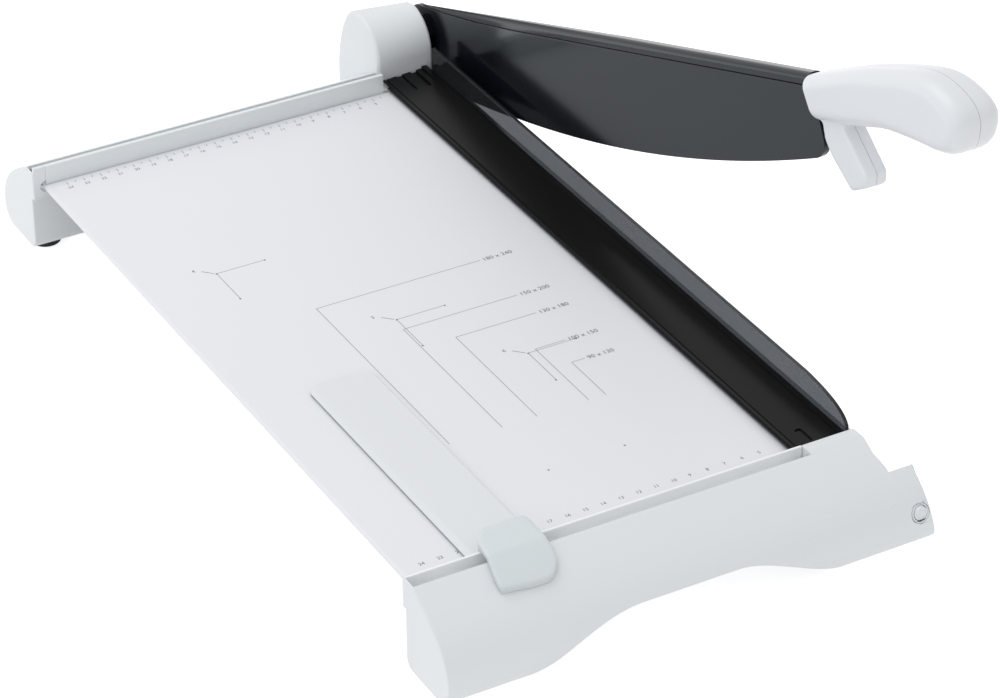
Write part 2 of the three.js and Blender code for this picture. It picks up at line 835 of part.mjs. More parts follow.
// Latch button with its pin, the ring about it and the spring behind it
function addLatch() {
  const face = buttonFace();
  const headEnd = face + buttonLength;
  const head = rod('y', latchPlace, -latchDrop, buttonRadius, face, headEnd, buttonEdge);
  const pin = rod('y', latchPlace, -latchDrop, latchPinRadius, headEnd - buttonEdge, -latchGuideEnd - fit);
  addPart('lock_button', join(head, pin), handlePlastic);
  const ringInner = buttonRadius + fit;
  const ringOuter = ringInner + latchRingWidth;
  const ringEnd = face + latchRingDepth - fit;
  const ringBody = ring('y', latchPlace, -latchDrop, ringInner, ringOuter, -casingDepth, ringEnd);
  const skin = prism('x', facing(casingSection(), 0, -1), 0, tabReach);
  addPart('lock_ring', common(ringBody, skin), aluminium);
  const springRadius = (latchPinRadius + fit + buttonRadius) / 2;
  const inner = -(springRoomEnd() - fit);
  const outer = -(headEnd + fit);
  const spring = coil('y', latchPlace, -latchDrop, springRadius, inner, outer, latchSpringTurns);
  addPart('lock_spring', spring, steel);
}

// Clamp bar, its sole, the cutting guard, and the sprung posts that draw it down
function clampSlot(x, yMin, yMax) {
  const outline = roundedShape([
    [x - slotWidth / 2, yMin, slotRound],
    [x + slotWidth / 2, yMin, slotRound],
    [x + slotWidth / 2, yMax, slotRound],
    [x - slotWidth / 2, yMax, slotRound],
  ]);
  return prism('z', outline, clampCrown - slotDepth - clampEdge / 2, clampTop + overrun);
}

function addClamp() {
  const barBottom = clampLift + soleThickness + fit;
  const lipTop = barBottom + clampEdge;
  const grooveFloor = lipTop - clampEdge / 2;
  const lipRight = -clampLeft + clampLip;
  const section = new THREE.Shape()
    .moveTo(-clampLeft, barBottom)
    .lineTo(-clampRight, barBottom)
    .lineTo(-clampRight, clampTop)
    .lineTo(-clampRight - clampRidge, clampTop)
    .lineTo(-clampRight - clampRidge, clampCrown)
    .lineTo(lipRight + clampGroove, lipTop)
    .lineTo(lipRight + clampGroove, grooveFloor)
    .lineTo(lipRight, grooveFloor)
    .lineTo(lipRight, lipTop)
    .lineTo(-clampLeft, lipTop);
  const postTop = lipTop - postSkin + fit;
  const postHole = (y, top) => rod('z', -postPlace, y, postRadius + fit, -overrun, top);
  const slots = [
    clampSlot(-postPlace, ...frontSlot),
    clampSlot(-postPlace, tableDepth - rearSlotGap, clampRearEnd + overrun),
    clampSlot(-postPlace + slotPitch, tableDepth - rearSlotGap, clampRearEnd + overrun),
  ];
  const bar = cut(
    prism('y', section, clampFrontEnd, clampRearEnd),
    ...postYs().map((y) => postHole(y, postTop + fit)),
    ...slots,
  );
  addPart('clamp_bar', bar, clampPlastic);
  const soleTop = clampLift + soleThickness;
  const soleLeft = -clampLeft - soleLip;
  const soleEnd = tableDepth - clampFrontEnd;
  const sole = block(soleLeft, -clampRight, clampFrontEnd, soleEnd, clampLift, soleTop);
  addPart('clamp_sole', cut(sole, ...postYs().map((y) => postHole(y, overrun))), aluminium);
  const guardRight = -clampRight + fit + guardThickness;
  const guardShape = new THREE.Shape()
    .moveTo(clampFrontEnd, guardSeat)
    .lineTo(soleEnd, guardSeat)
    .lineTo(soleEnd, guardTop)
    .lineTo(guardSweep, guardTop)
    .quadraticCurveTo(clampFrontEnd + guardNose / 2, guardTop - guardThickness, clampFrontEnd, guardNose);
  addPart('cut_guard', prism('x', guardShape, guardRight - guardThickness, guardRight), smokedPlastic);
  const postBottom = postTop - postLength;
  const springTop = seatTop - beamWall - fit;
  const names = ['front', 'rear'];
  postYs().forEach((y, i) => {
    const post = join(
      rod('z', -postPlace, y, postRadius, postBottom, postTop),
      rod('z', -postPlace, y, postFlange, postBottom, postBottom + postFlangeHeight),
    );
    addPart(`clamp_post_${names[i]}`, post, steel);
    const radius = postRadius + springWire + fit;
    const springBottom = postBottom + postFlangeHeight + fit;
    const spring = coil('z', -postPlace, y, radius, springBottom, springTop, clampSpringTurns);
    addPart(`clamp_spring_${names[i]}`, spring, steel);
  });
}

// Bearing bracket on the beam, its bush and the thrust washer against the arm
function addPivotBracket() {
  const top = pivotHeight + bracketRound;
  const bottom = -tableThickness;
  const outline = roundedShape([
    [pivotY - bracketHalf, bottom],
    [pivotY + bracketHalf, bottom],
    [pivotY + bracketRound, top, bracketRound - fit],
    [pivotY - bracketRound, top, bracketRound - fit],
  ]);
  const bushInner = shaftRadius + fit;
  const bushOuter = bushInner + bushWall;
  const cast = join(
    prism('x', outline, -bracketLeft, -bracketRight),
    rod('x', pivotY, pivotHeight, bracketBoss, -bracketRight - overrun, -bracketBossEnd),
  );
  const bore = rod('x', pivotY, pivotHeight, bushOuter + fit, -bracketLeft - overrun, 0);
  addPart('pivot_bracket', cut(cast, bore), castIron);
  const bush = ring('x', pivotY, pivotHeight, bushInner, bushOuter, -bracketLeft, -bracketBossEnd);
  const washer = ring('x', pivotY, pivotHeight, bushInner, bracketBoss, -bracketBossEnd + fit, 0);
  addPart('pivot_bush', bush, bronze);
  addPart('thrust_washer', washer, steel);
}

// Shaft, spring washer and nut, which turn with the arm
function addPivotShaft() {
  const headStart = armSide + hubThickness + fit;
  const headEnd = headStart + shaftHeadHeight;
  const shaft = join(
    rod('x', 0, 0, shaftRadius, -shaftInnerEnd, headStart + shaftHeadEdge),
    rod('x', 0, 0, shaftHeadRadius, headStart, headEnd, shaftHeadEdge),
  );
  addPart('pivot_shaft', shaft, steel, arm);
  const washerEnd = -bracketLeft - fit;
  const washerStart = washerEnd - washerThickness;
  const inner = shaftRadius + fit;
  const washer = ring('x', 0, 0, inner, inner + washerWidth, washerStart, washerEnd);
  addPart('spring_washer', washer, steel, arm);
  const hexagon = new THREE.Shape(Array.from({ length: nutSides }, (_, i) => (
    new THREE.Vector2(nutRadius, 0).rotateAround(new THREE.Vector2(), 2 * Math.PI * i / nutSides)
  )));
  const nutEnd = washerStart - fit;
  const nut = cut(
    prism('x', hexagon, nutEnd - nutHeight, nutEnd),
    rod('x', 0, 0, inner, nutEnd - nutHeight - overrun, nutEnd + overrun),
  );
  addPart('pivot_nut', nut, steel, arm);
}

// Height of the blade's curved edge at a reach from the pivot
function bladeEdge(reach) {
  const run = reach - bladePeak;
  return -bladeDrop + run * run / (2 * bladeArc);
}

// All that lies beyond the slightly curved end of the arm, moved out by a clearance
function beyondArm(shift) {
  const tall = gripHeight + overrun;
  const deep = prongDrop + overrun;
  const outline = new THREE.Shape()
    .moveTo(tangEnd + gripLength, tall)
    .lineTo(rootTop + shift, tall)
    .lineTo(rootTop + shift, armTop)
    .quadraticCurveTo(rootMiddle + shift, -rootMiddleDrop, rootBottom + shift, -armTop)
    .lineTo(rootBottom + shift, -deep)
    .lineTo(tangEnd + gripLength, -deep);
  return prism('arm', outline, -gripLength, gripLength);
}

function bladeScrewReaches() {
  return Array.from({ length: bladeScrewCount }, (_, i) => bladeScrewFirst + i * bladeScrewPitch);
}

// Arm rod, ring and prism drawn about a line along X at a reach and a height
function armRod(reach, height, radius, from, to) {
  return rod('arm', reach, height, radius, from, to);
}

function tangShape(grow) {
  return roundedShape([
    [tangStart, -grow],
    [tangEnd + grow, -grow, tangRound],
    [tangEnd + grow, tangHeight + grow, tangRound],
    [tangStart, tangHeight + grow],
  ]);
}

function addArmBeam() {
  const web = new THREE.Shape()
    .moveTo(0, armTop - beadRound)
    .lineTo(0, -armTop)
    .lineTo(bladeHeel, bladeEdge(bladeHeel) + bladeShow);
  for (let i = 1; i <= arcSteps; i += 1) {
    const reach = bladeHeel + (rootBottom - bladeHeel) * i / arcSteps;
    web.lineTo(reach, bladeEdge(reach) + bladeShow);
  }
  web.lineTo(rootBottom, armTop - beadRound);
  const bead = roundedShape([
    [armSide, beadUnder, beadUnderRound],
    [armSide + beadWidth, beadUnder, beadUnderRound],
    [armSide + beadWidth, armTop, beadRound],
    [armSide, armTop, beadRound],
  ]);
  const length = cut(
    join(prism('arm', web, webNear, webFar), prism('y', bead, -rootBottom, 0)),
    beyondArm(-fit * halfFitShare),
  );
  const hub = armRod(0, 0, armTop, armSide, armSide + hubThickness);
  const tang = prism('arm', tangShape(0), webNear, webFar);
  const screwCuts = bladeScrewReaches().flatMap((reach) => [
    armRod(reach, -bladeScrewDrop, screwHole, armSide, webFar + overrun),
    armRod(reach, -bladeScrewDrop, screwHeadRadius + fit, webFar - screwHeadHeight - fit, webFar + overrun),
  ]);
  const tangCuts = handleScrewPlaces.map((reach) => (
    armRod(reach, handleScrewHeight, screwHole, 0, webFar + overrun)
  ));
  const bore = armRod(0, 0, shaftRadius + fit, -overrun, hubThickness + overrun);
  const beam = cut(join(length, hub, tang), bore, ...screwCuts, ...tangCuts);
  addPart('arm_beam', beam, anthracitePaint, arm);
}

// Blade: flat on the side that meets the knife, ground to its edge on the other
function addBlade() {
  const toe = rootBottom;
  const heelHeight = -bladeHeelDrop - bladeHeelRound / 2;
  const outline = new THREE.Shape()
    .moveTo(bladeStart, beadUnder - fit)
    .lineTo(bladeStart, -bladeHeelDrop + bladeHeelRound)
    .quadraticCurveTo(bladeStart, heelHeight, bladeHeel, bladeEdge(bladeHeel));
  const toeStart = toe - bladeToeRound;
  for (let i = 1; i <= arcSteps; i += 1) {
    const reach = bladeHeel + (toeStart - bladeHeel) * i / arcSteps;
    outline.lineTo(reach, bladeEdge(reach));
  }
  outline.quadraticCurveTo(toe, bladeEdge(toe), toe, bladeEdge(toe) + bladeToeRound);
  outline.lineTo(toe, beadUnder - fit);
  const geometry = drawnOut('arm', outline, armSide, bladeFar);
  const places = geometry.getAttribute('position');
  const middle = (armSide + bladeFar) / 2;
  for (let i = 0; i < places.count; i += 1) {
    if (places.getX(i) > middle && places.getZ(i) < 0) places.setZ(i, places.getZ(i) + bladeGrind);
  }
  const holes = bladeScrewReaches().map((reach) => (
    armRod(reach, -bladeScrewDrop, screwHole, bladeFar - bladeHoleDepth, bladeFar + overrun)
  ));
  const blade = cut(solidOf(geometry), beyondArm(-fit * halfFitShare), ...holes);
  addPart('upper_blade', blade, anthracitePaint, arm);
  bladeScrewReaches().forEach((reach, i) => {
    const body = join(
      armRod(reach, -bladeScrewDrop, screwHeadRadius, webFar - screwHeadHeight, webFar),
      armRod(reach, -bladeScrewDrop, screwRadius, bladeFar - bladeHoleDepth + fit, webFar),
    );
    addPart(`blade_screw_${i + 1}`, body, steel, arm);
  });
}

// Grip: the outline with deep round edges, thicker towards its end
function grip() {
  const points = gripOutlineShares.map(([along, high]) => (
    new THREE.Vector2(rootTop + gripLength * along, gripHeight * high)
  ));
  const outline = new THREE.Shape(new THREE.SplineCurve(points).getPoints(gripSteps));
  const depth = gripHalfThickness - gripEdge;
  const geometry = new THREE.ExtrudeGeometry(outline, {
    depth: 2 * depth,
    bevelThickness: gripEdge,
    bevelSize: gripEdge,
    bevelOffset: -gripEdge,
    bevelSegments: gripEdgeSteps,
  });
  geometry.translate(0, 0, -depth);
  const places = geometry.getAttribute('position');
  for (let i = 0; i < places.count; i += 1) {
    const share = (places.getX(i) - rootTop) / gripLength;
    places.setZ(i, places.getZ(i) * (1 + gripFlareShare * share));
  }
  geometry.translate(0, 0, -handleMiddle);
  return solidOf(geometry.applyMatrix4(bases.arm));
}

function prong() {
  const outline = roundedShape([
    [rootBottom, prongRise],
    [rootBottom, -prongRootDrop],
    [rootBottom + prongHeel, -prongDrop + prongHeelLift],
    [rootBottom + prongFoot, -prongDrop, prongFootRound],
    [rootBottom + prongToe - prongToeRound, -prongDrop + prongFootLift, prongToeRound],
    [rootBottom + prongToe, -prongDrop + prongToeLift, prongToeRound],
    [rootBottom + prongNeck, -prongNeckDrop],
    [rootBottom + prongNeck, prongRise],
  ]);
  const near = handleMiddle - prongHalfThickness;
  const far = handleMiddle + prongHalfThickness;
  return prism('arm', outline, near, far, prongEdge);
}

function addHandle() {
  const pocket = prism('arm', tangShape(fit), webNear - fit, webFar + fit);
  const body = cut(common(join(grip(), prong()), beyondArm(fit * halfFitShare)), pocket);
  const half = fit * halfFitShare;
  const high = gripHeight + overrun;
  const reachMax = tangEnd + gripLength;
  const side = rectangle(tangStart, reachMax, -prongDrop - overrun, high);
  const slab = (from, to) => prism('arm', side, from, to);
  const leftCuts = handleScrewPlaces.map((reach) => (
    armRod(reach, handleScrewHeight, screwHole, handleScrewTip - fit, handleMiddle)
  ));
  const rightCuts = handleScrewPlaces.flatMap((reach) => [
    armRod(reach, handleScrewHeight, screwHole, 0, handleScrewHead + overrun),
    armRod(reach, handleScrewHeight, handleScrewSink, handleScrewHead - fit, gripLength),
  ]);
  const leftShell = cut(common(body, slab(-gripLength, handleMiddle - half)), ...leftCuts);
  const rightShell = cut(common(body, slab(handleMiddle + half, gripLength)), ...rightCuts);
  addPart('handle_left', leftShell, handlePlastic, arm);
  addPart('handle_right', rightShell, handlePlastic, arm);
  handleScrewPlaces.forEach((reach, i) => {
    const body = join(
      armRod(reach, handleScrewHeight, screwHeadRadius, handleScrewHead, handleScrewHead + screwHeadHeight),
      armRod(reach, handleScrewHeight, screwRadius, handleScrewTip, handleScrewHead + screwHeadHeight),
    );
    addPart(`handle_screw_${i + 1}`, body, steel, arm);
  });
}

// Gauge: a flat stop on the table, carried by a saddle that runs on the front rail
function addGauge() {
  const outline = roundedShape([
    [-gaugeLeft, 2 * fit],
    [-gaugeRight, 2 * fit],
    [-gaugeRight, gaugeReach, gaugeCorner],
    [-gaugeLeft, gaugeReach, gaugeCorner],
  ]);
  addPart('gauge_bar', prism('z', outline, fit, gaugeTop), frostedPlastic);
  const [cheek, brow, mouth] = casingCurve(fit);
  const start = new THREE.Vector2(casingDepth + fit, casingFloor + casingRound);
  const underside = new THREE.CubicBezierCurve(start, cheek, brow, mouth).getPoints(arcSteps)
    .filter((point) => point.x < saddleFall);
  const topside = underside.map((point) => new THREE.Vector2(point.x, point.y + saddleHeight)).reverse();
  const section = new THREE.Shape([
    new THREE.Vector2(-saddleReach, gaugeTop + fit),
    new THREE.Vector2(-2 * fit, gaugeTop + fit),
    new THREE.Vector2(-2 * fit, stopHeight + fit),
    ...underside.toReversed(),
    ...topside.toReversed(),
    new THREE.Vector2(-saddleReach + saddleNose, stopHeight + fit + saddleHeight),
    new THREE.Vector2(-saddleReach, stopHeight + fit),
  ]);
  const saddleLeft = -gaugeLeft + saddleInset;
  const saddleRight = -gaugeRight - saddleRightInset;
  const saddle = prism('x', facing(section, 0, -1), saddleLeft, saddleRight);
  const plan = roundedShape([
    [saddleLeft, -saddleFall - fit, saddleFrontRound],
    [saddleRight, -saddleFall - fit, saddleFrontRound],
    [saddleRight, saddleReach, saddleRearRound],
    [saddleLeft, saddleReach, saddleRearRound],
  ]);
  addPart('gauge_saddle', common(saddle, prism('z', plan, -casingDepth, casingDepth)), frostedPlastic);
  const tongueTop = stopHeight;
  const tongueLeft = saddleLeft + tongueSide;
  const tongueRight = saddleRight - tongueSide;
  const tongue = block(tongueLeft, tongueRight, -grooveEnd + fit, -frontLip - fit, seatTop + fit, tongueTop);
  addPart('gauge_tongue', tongue, frostedPlastic);
}

addTable();
addStopRails();
addFrontCasing();
addRearCasing();
addPivotHousing();
addFrame();
addFeet();
addLatch();
addClamp();
addPivotBracket();
addPivotShaft();
addArmBeam();
addBlade();
addHandle();
addGauge();

// Origin at the bottom centre of the whole, with the arm raised as drawn
const bounds = new THREE.Box3().setFromObject(cutter, true);
const middle = bounds.getCenter(new THREE.Vector3());
cutter.position.set(-middle.x, -middle.y, -bounds.min.z);

export default cutter;
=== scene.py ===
"""A guillotine paper cutter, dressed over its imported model.

Metres. The places of printed marks and of the camera are counted from the cutting origin: the point
where the cutting line, the front stop's face and the table's top meet.
"""

import json
import math

import bpy
from mathutils import Euler, Matrix, Vector


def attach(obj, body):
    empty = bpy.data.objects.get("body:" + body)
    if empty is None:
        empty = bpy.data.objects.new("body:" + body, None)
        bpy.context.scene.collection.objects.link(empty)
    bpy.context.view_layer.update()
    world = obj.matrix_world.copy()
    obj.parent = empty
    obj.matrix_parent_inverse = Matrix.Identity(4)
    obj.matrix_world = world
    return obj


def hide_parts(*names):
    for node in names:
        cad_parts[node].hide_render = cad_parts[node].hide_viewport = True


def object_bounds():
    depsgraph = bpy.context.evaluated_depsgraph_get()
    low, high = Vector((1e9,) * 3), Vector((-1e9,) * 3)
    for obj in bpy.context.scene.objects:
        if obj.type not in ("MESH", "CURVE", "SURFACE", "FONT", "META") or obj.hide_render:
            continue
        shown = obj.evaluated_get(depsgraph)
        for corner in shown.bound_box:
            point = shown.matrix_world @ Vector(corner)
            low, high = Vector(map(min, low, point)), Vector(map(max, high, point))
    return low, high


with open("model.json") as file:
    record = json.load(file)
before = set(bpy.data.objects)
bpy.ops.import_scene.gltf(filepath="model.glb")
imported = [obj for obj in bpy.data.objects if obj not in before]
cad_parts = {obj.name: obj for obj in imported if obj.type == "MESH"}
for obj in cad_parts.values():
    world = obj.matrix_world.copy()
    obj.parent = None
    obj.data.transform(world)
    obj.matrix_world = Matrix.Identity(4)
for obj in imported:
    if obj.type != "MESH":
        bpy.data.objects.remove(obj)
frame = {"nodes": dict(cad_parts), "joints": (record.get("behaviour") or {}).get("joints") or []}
cad_low, cad_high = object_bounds()

MM = 0.001

# The cutting origin: the arm's hinge stands at a known place behind and above it
PIVOT_Y = 455
PIVOT_Z = 14
hinge = next(joint for joint in frame["joints"] if joint["name"] == "arm_hinge")
origin = Vector(hinge["pos_m"]) - Vector((0, PIVOT_Y, PIVOT_Z)) * MM

# Camera: a long lens to the front left, above the table
CAMERA_PLACE = (-938.6, -1303.1, 1083.4)
CAMERA_TURN = 29.374
CAMERA_TILT = 32.848
CAMERA_ROLL = -0.113
FOCAL_PIXELS = 3891.5
PICTURE_WIDTH = 1000
SENSOR_WIDTH = 36

# Light and floor
AMBIENT = 0.72
KEY_POWER = 9
KEY_SIZE = 1.4
KEY_PLACE = (-0.5, 0.7, 1.6)
FILL_POWER = 3.6
FILL_SIZE = 1.6
FILL_PLACE = (-1.6, -1.2, 0.9)
FLOOR_SIZE = 12
FLOOR_BASE = (0.8, 0.8, 0.8, 1)
FLOOR_GLOW = 0.74
FLOOR_BOUNCE = 0.15
WHITE = (1, 1, 1, 1)

# Printed marks, in millimetres from the cutting origin
INK_HEIGHT = 0.04
INK_LINE = 0.35
SCALE_STEP = 10
REAR_TICK_START = 4
REAR_TICK_LONG = 3.2
REAR_TICK_SHORT = 1.8
FRONT_NUMERAL_PLACE = 13.4
NUMERAL_SIZE = 3.2
NUMERAL_GAP = 1.4
FIRST_MARK = 5
LAST_MARK = 24
FORMATS = ((180, 240), (150, 200), (130, 180), (100, 150), (90, 130))
FORMAT_LABEL_START = 82
FORMAT_LABEL_SIZE = 4.4
FORMAT_LINE_END = 96
SHEETS = ((210, 297, 4), (148.5, 210, 5), (105, 148.5, 6))
SHEET_ARM = 28.5
SHEET_DOT = 1.1
SHEET_TAIL = 7
SHEET_LABEL_SIZE = 3.6
SHEET_DOT_SIDES = 16
LOW_DOT_PLACE = 52.3


def at(x, y, z):
    """A point given in millimetres from the cutting origin."""
    return origin + Vector((x, y, z)) * MM


def deselect():
    bpy.ops.object.select_all(action="DESELECT")


def pick(*objects):
    """Selects these objects alone, the first of them active."""
    deselect()
    for piece in objects:
        piece.select_set(True)
    bpy.context.view_layer.objects.active = objects[0]


def settle(piece, name):
    """Names a new piece and puts its place into its mesh."""
    pick(piece)
    bpy.ops.object.transform_apply(location=True, rotation=True, scale=True)
    piece.name = name
    piece.data.name = name
    return piece


def dress(piece, material, body, replaced=()):
    """Gives a new piece its material, the body it rides on and the nodes that it stands for."""
    piece.data.materials.clear()
    piece.data.materials.append(material)
    if replaced:
        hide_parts(*replaced)
    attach(piece, body)


# Shader groups
class Graph:
    """A node tree with short calls for adding and linking nodes."""

    def __init__(self, tree):
        self.tree = tree

    def add(self, kind, values=None, **settings):
        node = self.tree.nodes.new(kind)
        for name, value in settings.items():
            setattr(node, name, value)
        for name, value in (values or {}).items():
            if isinstance(value, bpy.types.NodeSocket):
                self.tree.links.new(value, node.inputs[name])
            else:
                node.inputs[name].default_value = value
        return node

    def math(self, operation, first, second):
        return self.add("ShaderNodeMath", {0: first, 1: second}, operation=operation).outputs[0]

    def noise(self, vector, scale, detail):
        values = {"Vector": vector, "Scale": scale, "Detail": detail}
        return self.add("ShaderNodeTexNoise", values).outputs["Fac"]

    def link(self, source, target):
        self.tree.links.new(source, target)


def new_group(name, inputs, outputs):
    """An empty shader group with these sockets, and the graph, entry and exit to fill it with."""
    tree = bpy.data.node_groups.new(name, "ShaderNodeTree")
    for label, (kind, value) in inputs.items():
        socket = tree.interface.new_socket(label, in_out="INPUT", socket_type=kind)
        socket.default_value = value
    for label, kind in outputs.items():
        tree.interface.new_socket(label, in_out="OUTPUT", socket_type=kind)
    graph = Graph(tree)
    return tree, graph, graph.add("NodeGroupInput"), graph.add("NodeGroupOutput")


FLOAT = "NodeSocketFloat"
COLOUR = "NodeSocketColor"


def fill_exit(graph, entry, exit_node, tint_shift, rough_shift, height):
    """Gives out the group's colour and roughness, each changed by its shift, and its height."""
    value = graph.math("ADD", tint_shift, 1.0)
    shade = {"Color": entry.outputs["Colour"], "Value": value}
    tinted = graph.add("ShaderNodeHueSaturation", shade)
    rough = graph.math("ADD", rough_shift, entry.outputs["Roughness"])
    graph.link(tinted.outputs["Color"], exit_node.inputs["Colour"])
    graph.link(rough, exit_node.inputs["Roughness"])
    graph.link(height, exit_node.inputs["Height"])


def make_surface_group():
    """Fine texture of a moulded or coated surface: a drifting tint and roughness, and a grain."""
    tree, graph, entry, exit_node = new_group(
        "surface texture",
        {
            "Colour": (COLOUR, (0.8, 0.8, 0.8, 1)),
            "Drift": (FLOAT, 0.02),
            "Drift scale": (FLOAT, 12),
            "Grain scale": (FLOAT, 1500),
            "Roughness": (FLOAT, 0.4),
            "Roughness drift": (FLOAT, 0.08),
        },
        {"Colour": COLOUR, "Roughness": FLOAT, "Height": FLOAT},
    )
    coordinates = graph.add("ShaderNodeTexCoord").outputs["Object"]
    drift = graph.noise(coordinates, entry.outputs["Drift scale"], 3.0)
    grain = graph.noise(coordinates, entry.outputs["Grain scale"], 2.0)
    centred = graph.math("SUBTRACT", drift, 0.5)
    tint_shift = graph.math("MULTIPLY", centred, entry.outputs["Drift"])
    rough_shift = graph.math("MULTIPLY", centred, entry.outputs["Roughness drift"])
    fill_exit(graph, entry, exit_node, tint_shift, rough_shift, grain)
    return tree


def make_brushed_group():
    """Fine parallel scratches of ground or drawn metal, along one axis."""
    tree, graph, entry, exit_node = new_group(
        "brushed lines",
        {
            "Colour": (COLOUR, (0.6, 0.6, 0.6, 1)),
            "Stretch": ("NodeSocketVector", (1, 60, 60)),
            "Scale": (FLOAT, 40),
            "Contrast": (FLOAT, 0.12),
            "Roughness": (FLOAT, 0.3),
        },
        {"Colour": COLOUR, "Roughness": FLOAT, "Height": FLOAT},
    )
    coordinates = graph.add("ShaderNodeTexCoord").outputs["Object"]
    stretched = graph.add(
        "ShaderNodeVectorMath",
        {0: coordinates, 1: entry.outputs["Stretch"]},
        operation="MULTIPLY",
    ).outputs[0]
    lines = graph.noise(stretched, entry.outputs["Scale"], 4.0)
    shift = graph.math("MULTIPLY", graph.math("SUBTRACT", lines, 0.5), entry.outputs["Contrast"])
    fill_exit(graph, entry, exit_node, shift, shift, lines)
    return tree


surface_texture = make_surface_group()
brushed_lines = make_brushed_group()


def new_material(name):
    """A material with an empty principled shader, and its graph."""
    material = bpy.data.materials.new(name)
    material.use_nodes = True
    graph = Graph(material.node_tree)
    return material, graph, material.node_tree.nodes["Principled BSDF"]


def textured(name, group, values, bump, shader):
    """A material whose colour, roughness and bump come from a shared group."""
    material, graph, principled = new_material(name)
    texture = graph.add("ShaderNodeGroup", node_tree=group)
    for label, value in values.items():
        texture.inputs[label].default_value = value
    relief = graph.add(
        "ShaderNodeBump",
        {"Strength": bump[0], "Distance": bump[1], "Height": texture.outputs["Height"]},
    )
    graph.link(texture.outputs["Colour"], principled.inputs["Base Color"])
    graph.link(texture.outputs["Roughness"], principled.inputs["Roughness"])
    graph.link(relief.outputs["Normal"], principled.inputs["Normal"])
    for label, value in shader.items():
        principled.inputs[label].default_value = value
    return material


def colour(red, green, blue):
    """A colour given as the eight-bit levels it should show at."""
    channels = []
    for level in (red, green, blue):
        share = level / 255
        channels.append(share / 12.92 if share <= 0.04045 else ((share + 0.055) / 1.055) ** 2.4)
    return (*channels, 1)


def coated(name, levels, drift, roughness, grain, bump, shader, rough_drift=0.08):
    """A material with the texture of a moulded or coated surface."""
    values = {"Colour": colour(*levels), "Drift": drift, "Roughness": roughness,
              "Roughness drift": rough_drift, "Grain scale": grain}
    return textured(name, surface_texture, values, bump, shader)


def brushed(name, levels, stretch, roughness, bump, shader):
    """A material with the texture of ground or drawn metal."""
    values = {"Colour": colour(*levels), "Stretch": stretch, "Roughness": roughness}
    return textured(name, brushed_lines, values, bump, shader)


casing_plastic = coated(
    "satin casing plastic", (230, 234, 237), drift=0.012, roughness=0.42, grain=2200,
    bump=(0.05, 0.00005), shader={"Specular IOR Level": 0.45},
)
handle_plastic = coated(
    "smooth grip plastic", (229, 232, 236), drift=0.012, roughness=0.34, grain=1800,
    bump=(0.03, 0.00005), shader={"Specular IOR Level": 0.5},
)
table_coat = coated(
    "powder coated table", (235, 237, 241), drift=0.01, roughness=0.38, grain=1300,
    bump=(0.06, 0.00006), shader={"Specular IOR Level": 0.4},
)
clamp_plastic = coated(
    "black clamp plastic", (13, 13, 14), drift=0.2, roughness=0.24, rough_drift=0.1, grain=1500,
    bump=(0.05, 0.00005), shader={"Specular IOR Level": 0.13},
)
arm_coat = coated(
    "anthracite arm coat", (12, 16, 22), drift=0.05, roughness=0.14, rough_drift=0.04, grain=900,
    bump=(0.02, 0.00004), shader={"Specular IOR Level": 0.42, "Specular Tint": (0.8, 0.93, 1, 1)},
)
rail_aluminium = brushed(
    "anodised rail", (232, 236, 238), stretch=(1, 80, 80), roughness=0.42, bump=(0.05, 0.00003),
    shader={"Metallic": 0.1},
)
# Painted light: the front rail is the same aluminium as the rear one, painted lighter so that its
# lip in the shaded groove shows as light as a lit face
front_rail_painted_light = brushed(
    "front rail with painted light", (249, 251, 252), stretch=(1, 80, 80), roughness=0.45, bump=(0.05, 0.00003),
    shader={"Specular IOR Level": 0.4},
)
frame_coat = coated(
    "dark frame coat", (58, 61, 64), drift=0.1, roughness=0.5, grain=900, bump=(0.1, 0.0001),
    shader={"Specular IOR Level": 0.4},
)
blade_steel = brushed(
    "ground blade steel", (184, 188, 191), stretch=(60, 2, 60), roughness=0.24,
    bump=(0.08, 0.00003), shader={"Metallic": 1},
)
plated_steel = brushed(
    "plated steel", (190, 193, 196), stretch=(40, 40, 40), roughness=0.3, bump=(0.05, 0.00003),
    shader={"Metallic": 1},
)
bracket_coat = coated(
    "cast bracket", (66, 68, 71), drift=0.25, roughness=0.55, grain=700, bump=(0.3, 0.0002),
    shader={"Metallic": 0.5},
)
bearing_bronze = brushed(
    "bearing bronze", (190, 148, 96), stretch=(40, 40, 40), roughness=0.35, bump=(0.06, 0.00003),
    shader={"Metallic": 1},
)
foot_rubber = coated(
    "foot rubber", (34, 40, 44), drift=0.15, roughness=0.7, grain=1200, bump=(0.2, 0.0001),
    shader={"Specular IOR Level": 0.3},
)
print_ink = coated(
    "printed ink", (150, 154, 159), drift=0.1, roughness=0.5, grain=1200, bump=(0.05, 0.00002),
    shader={"Specular IOR Level": 0.3},
)
print_ink_dark = coated(
    "printed ink, darker", (98, 102, 107), drift=0.1, roughness=0.5, grain=1200,
    bump=(0.05, 0.00002), shader={"Specular IOR Level": 0.3},
)
smoked_sheet = coated(
    "smoked guard sheet", (98, 101, 105), drift=0.02, roughness=0.05, rough_drift=0.02, grain=600,
    bump=(0.01, 0.00002), shader={"Transmission Weight": 0.9, "IOR": 1.3},
)


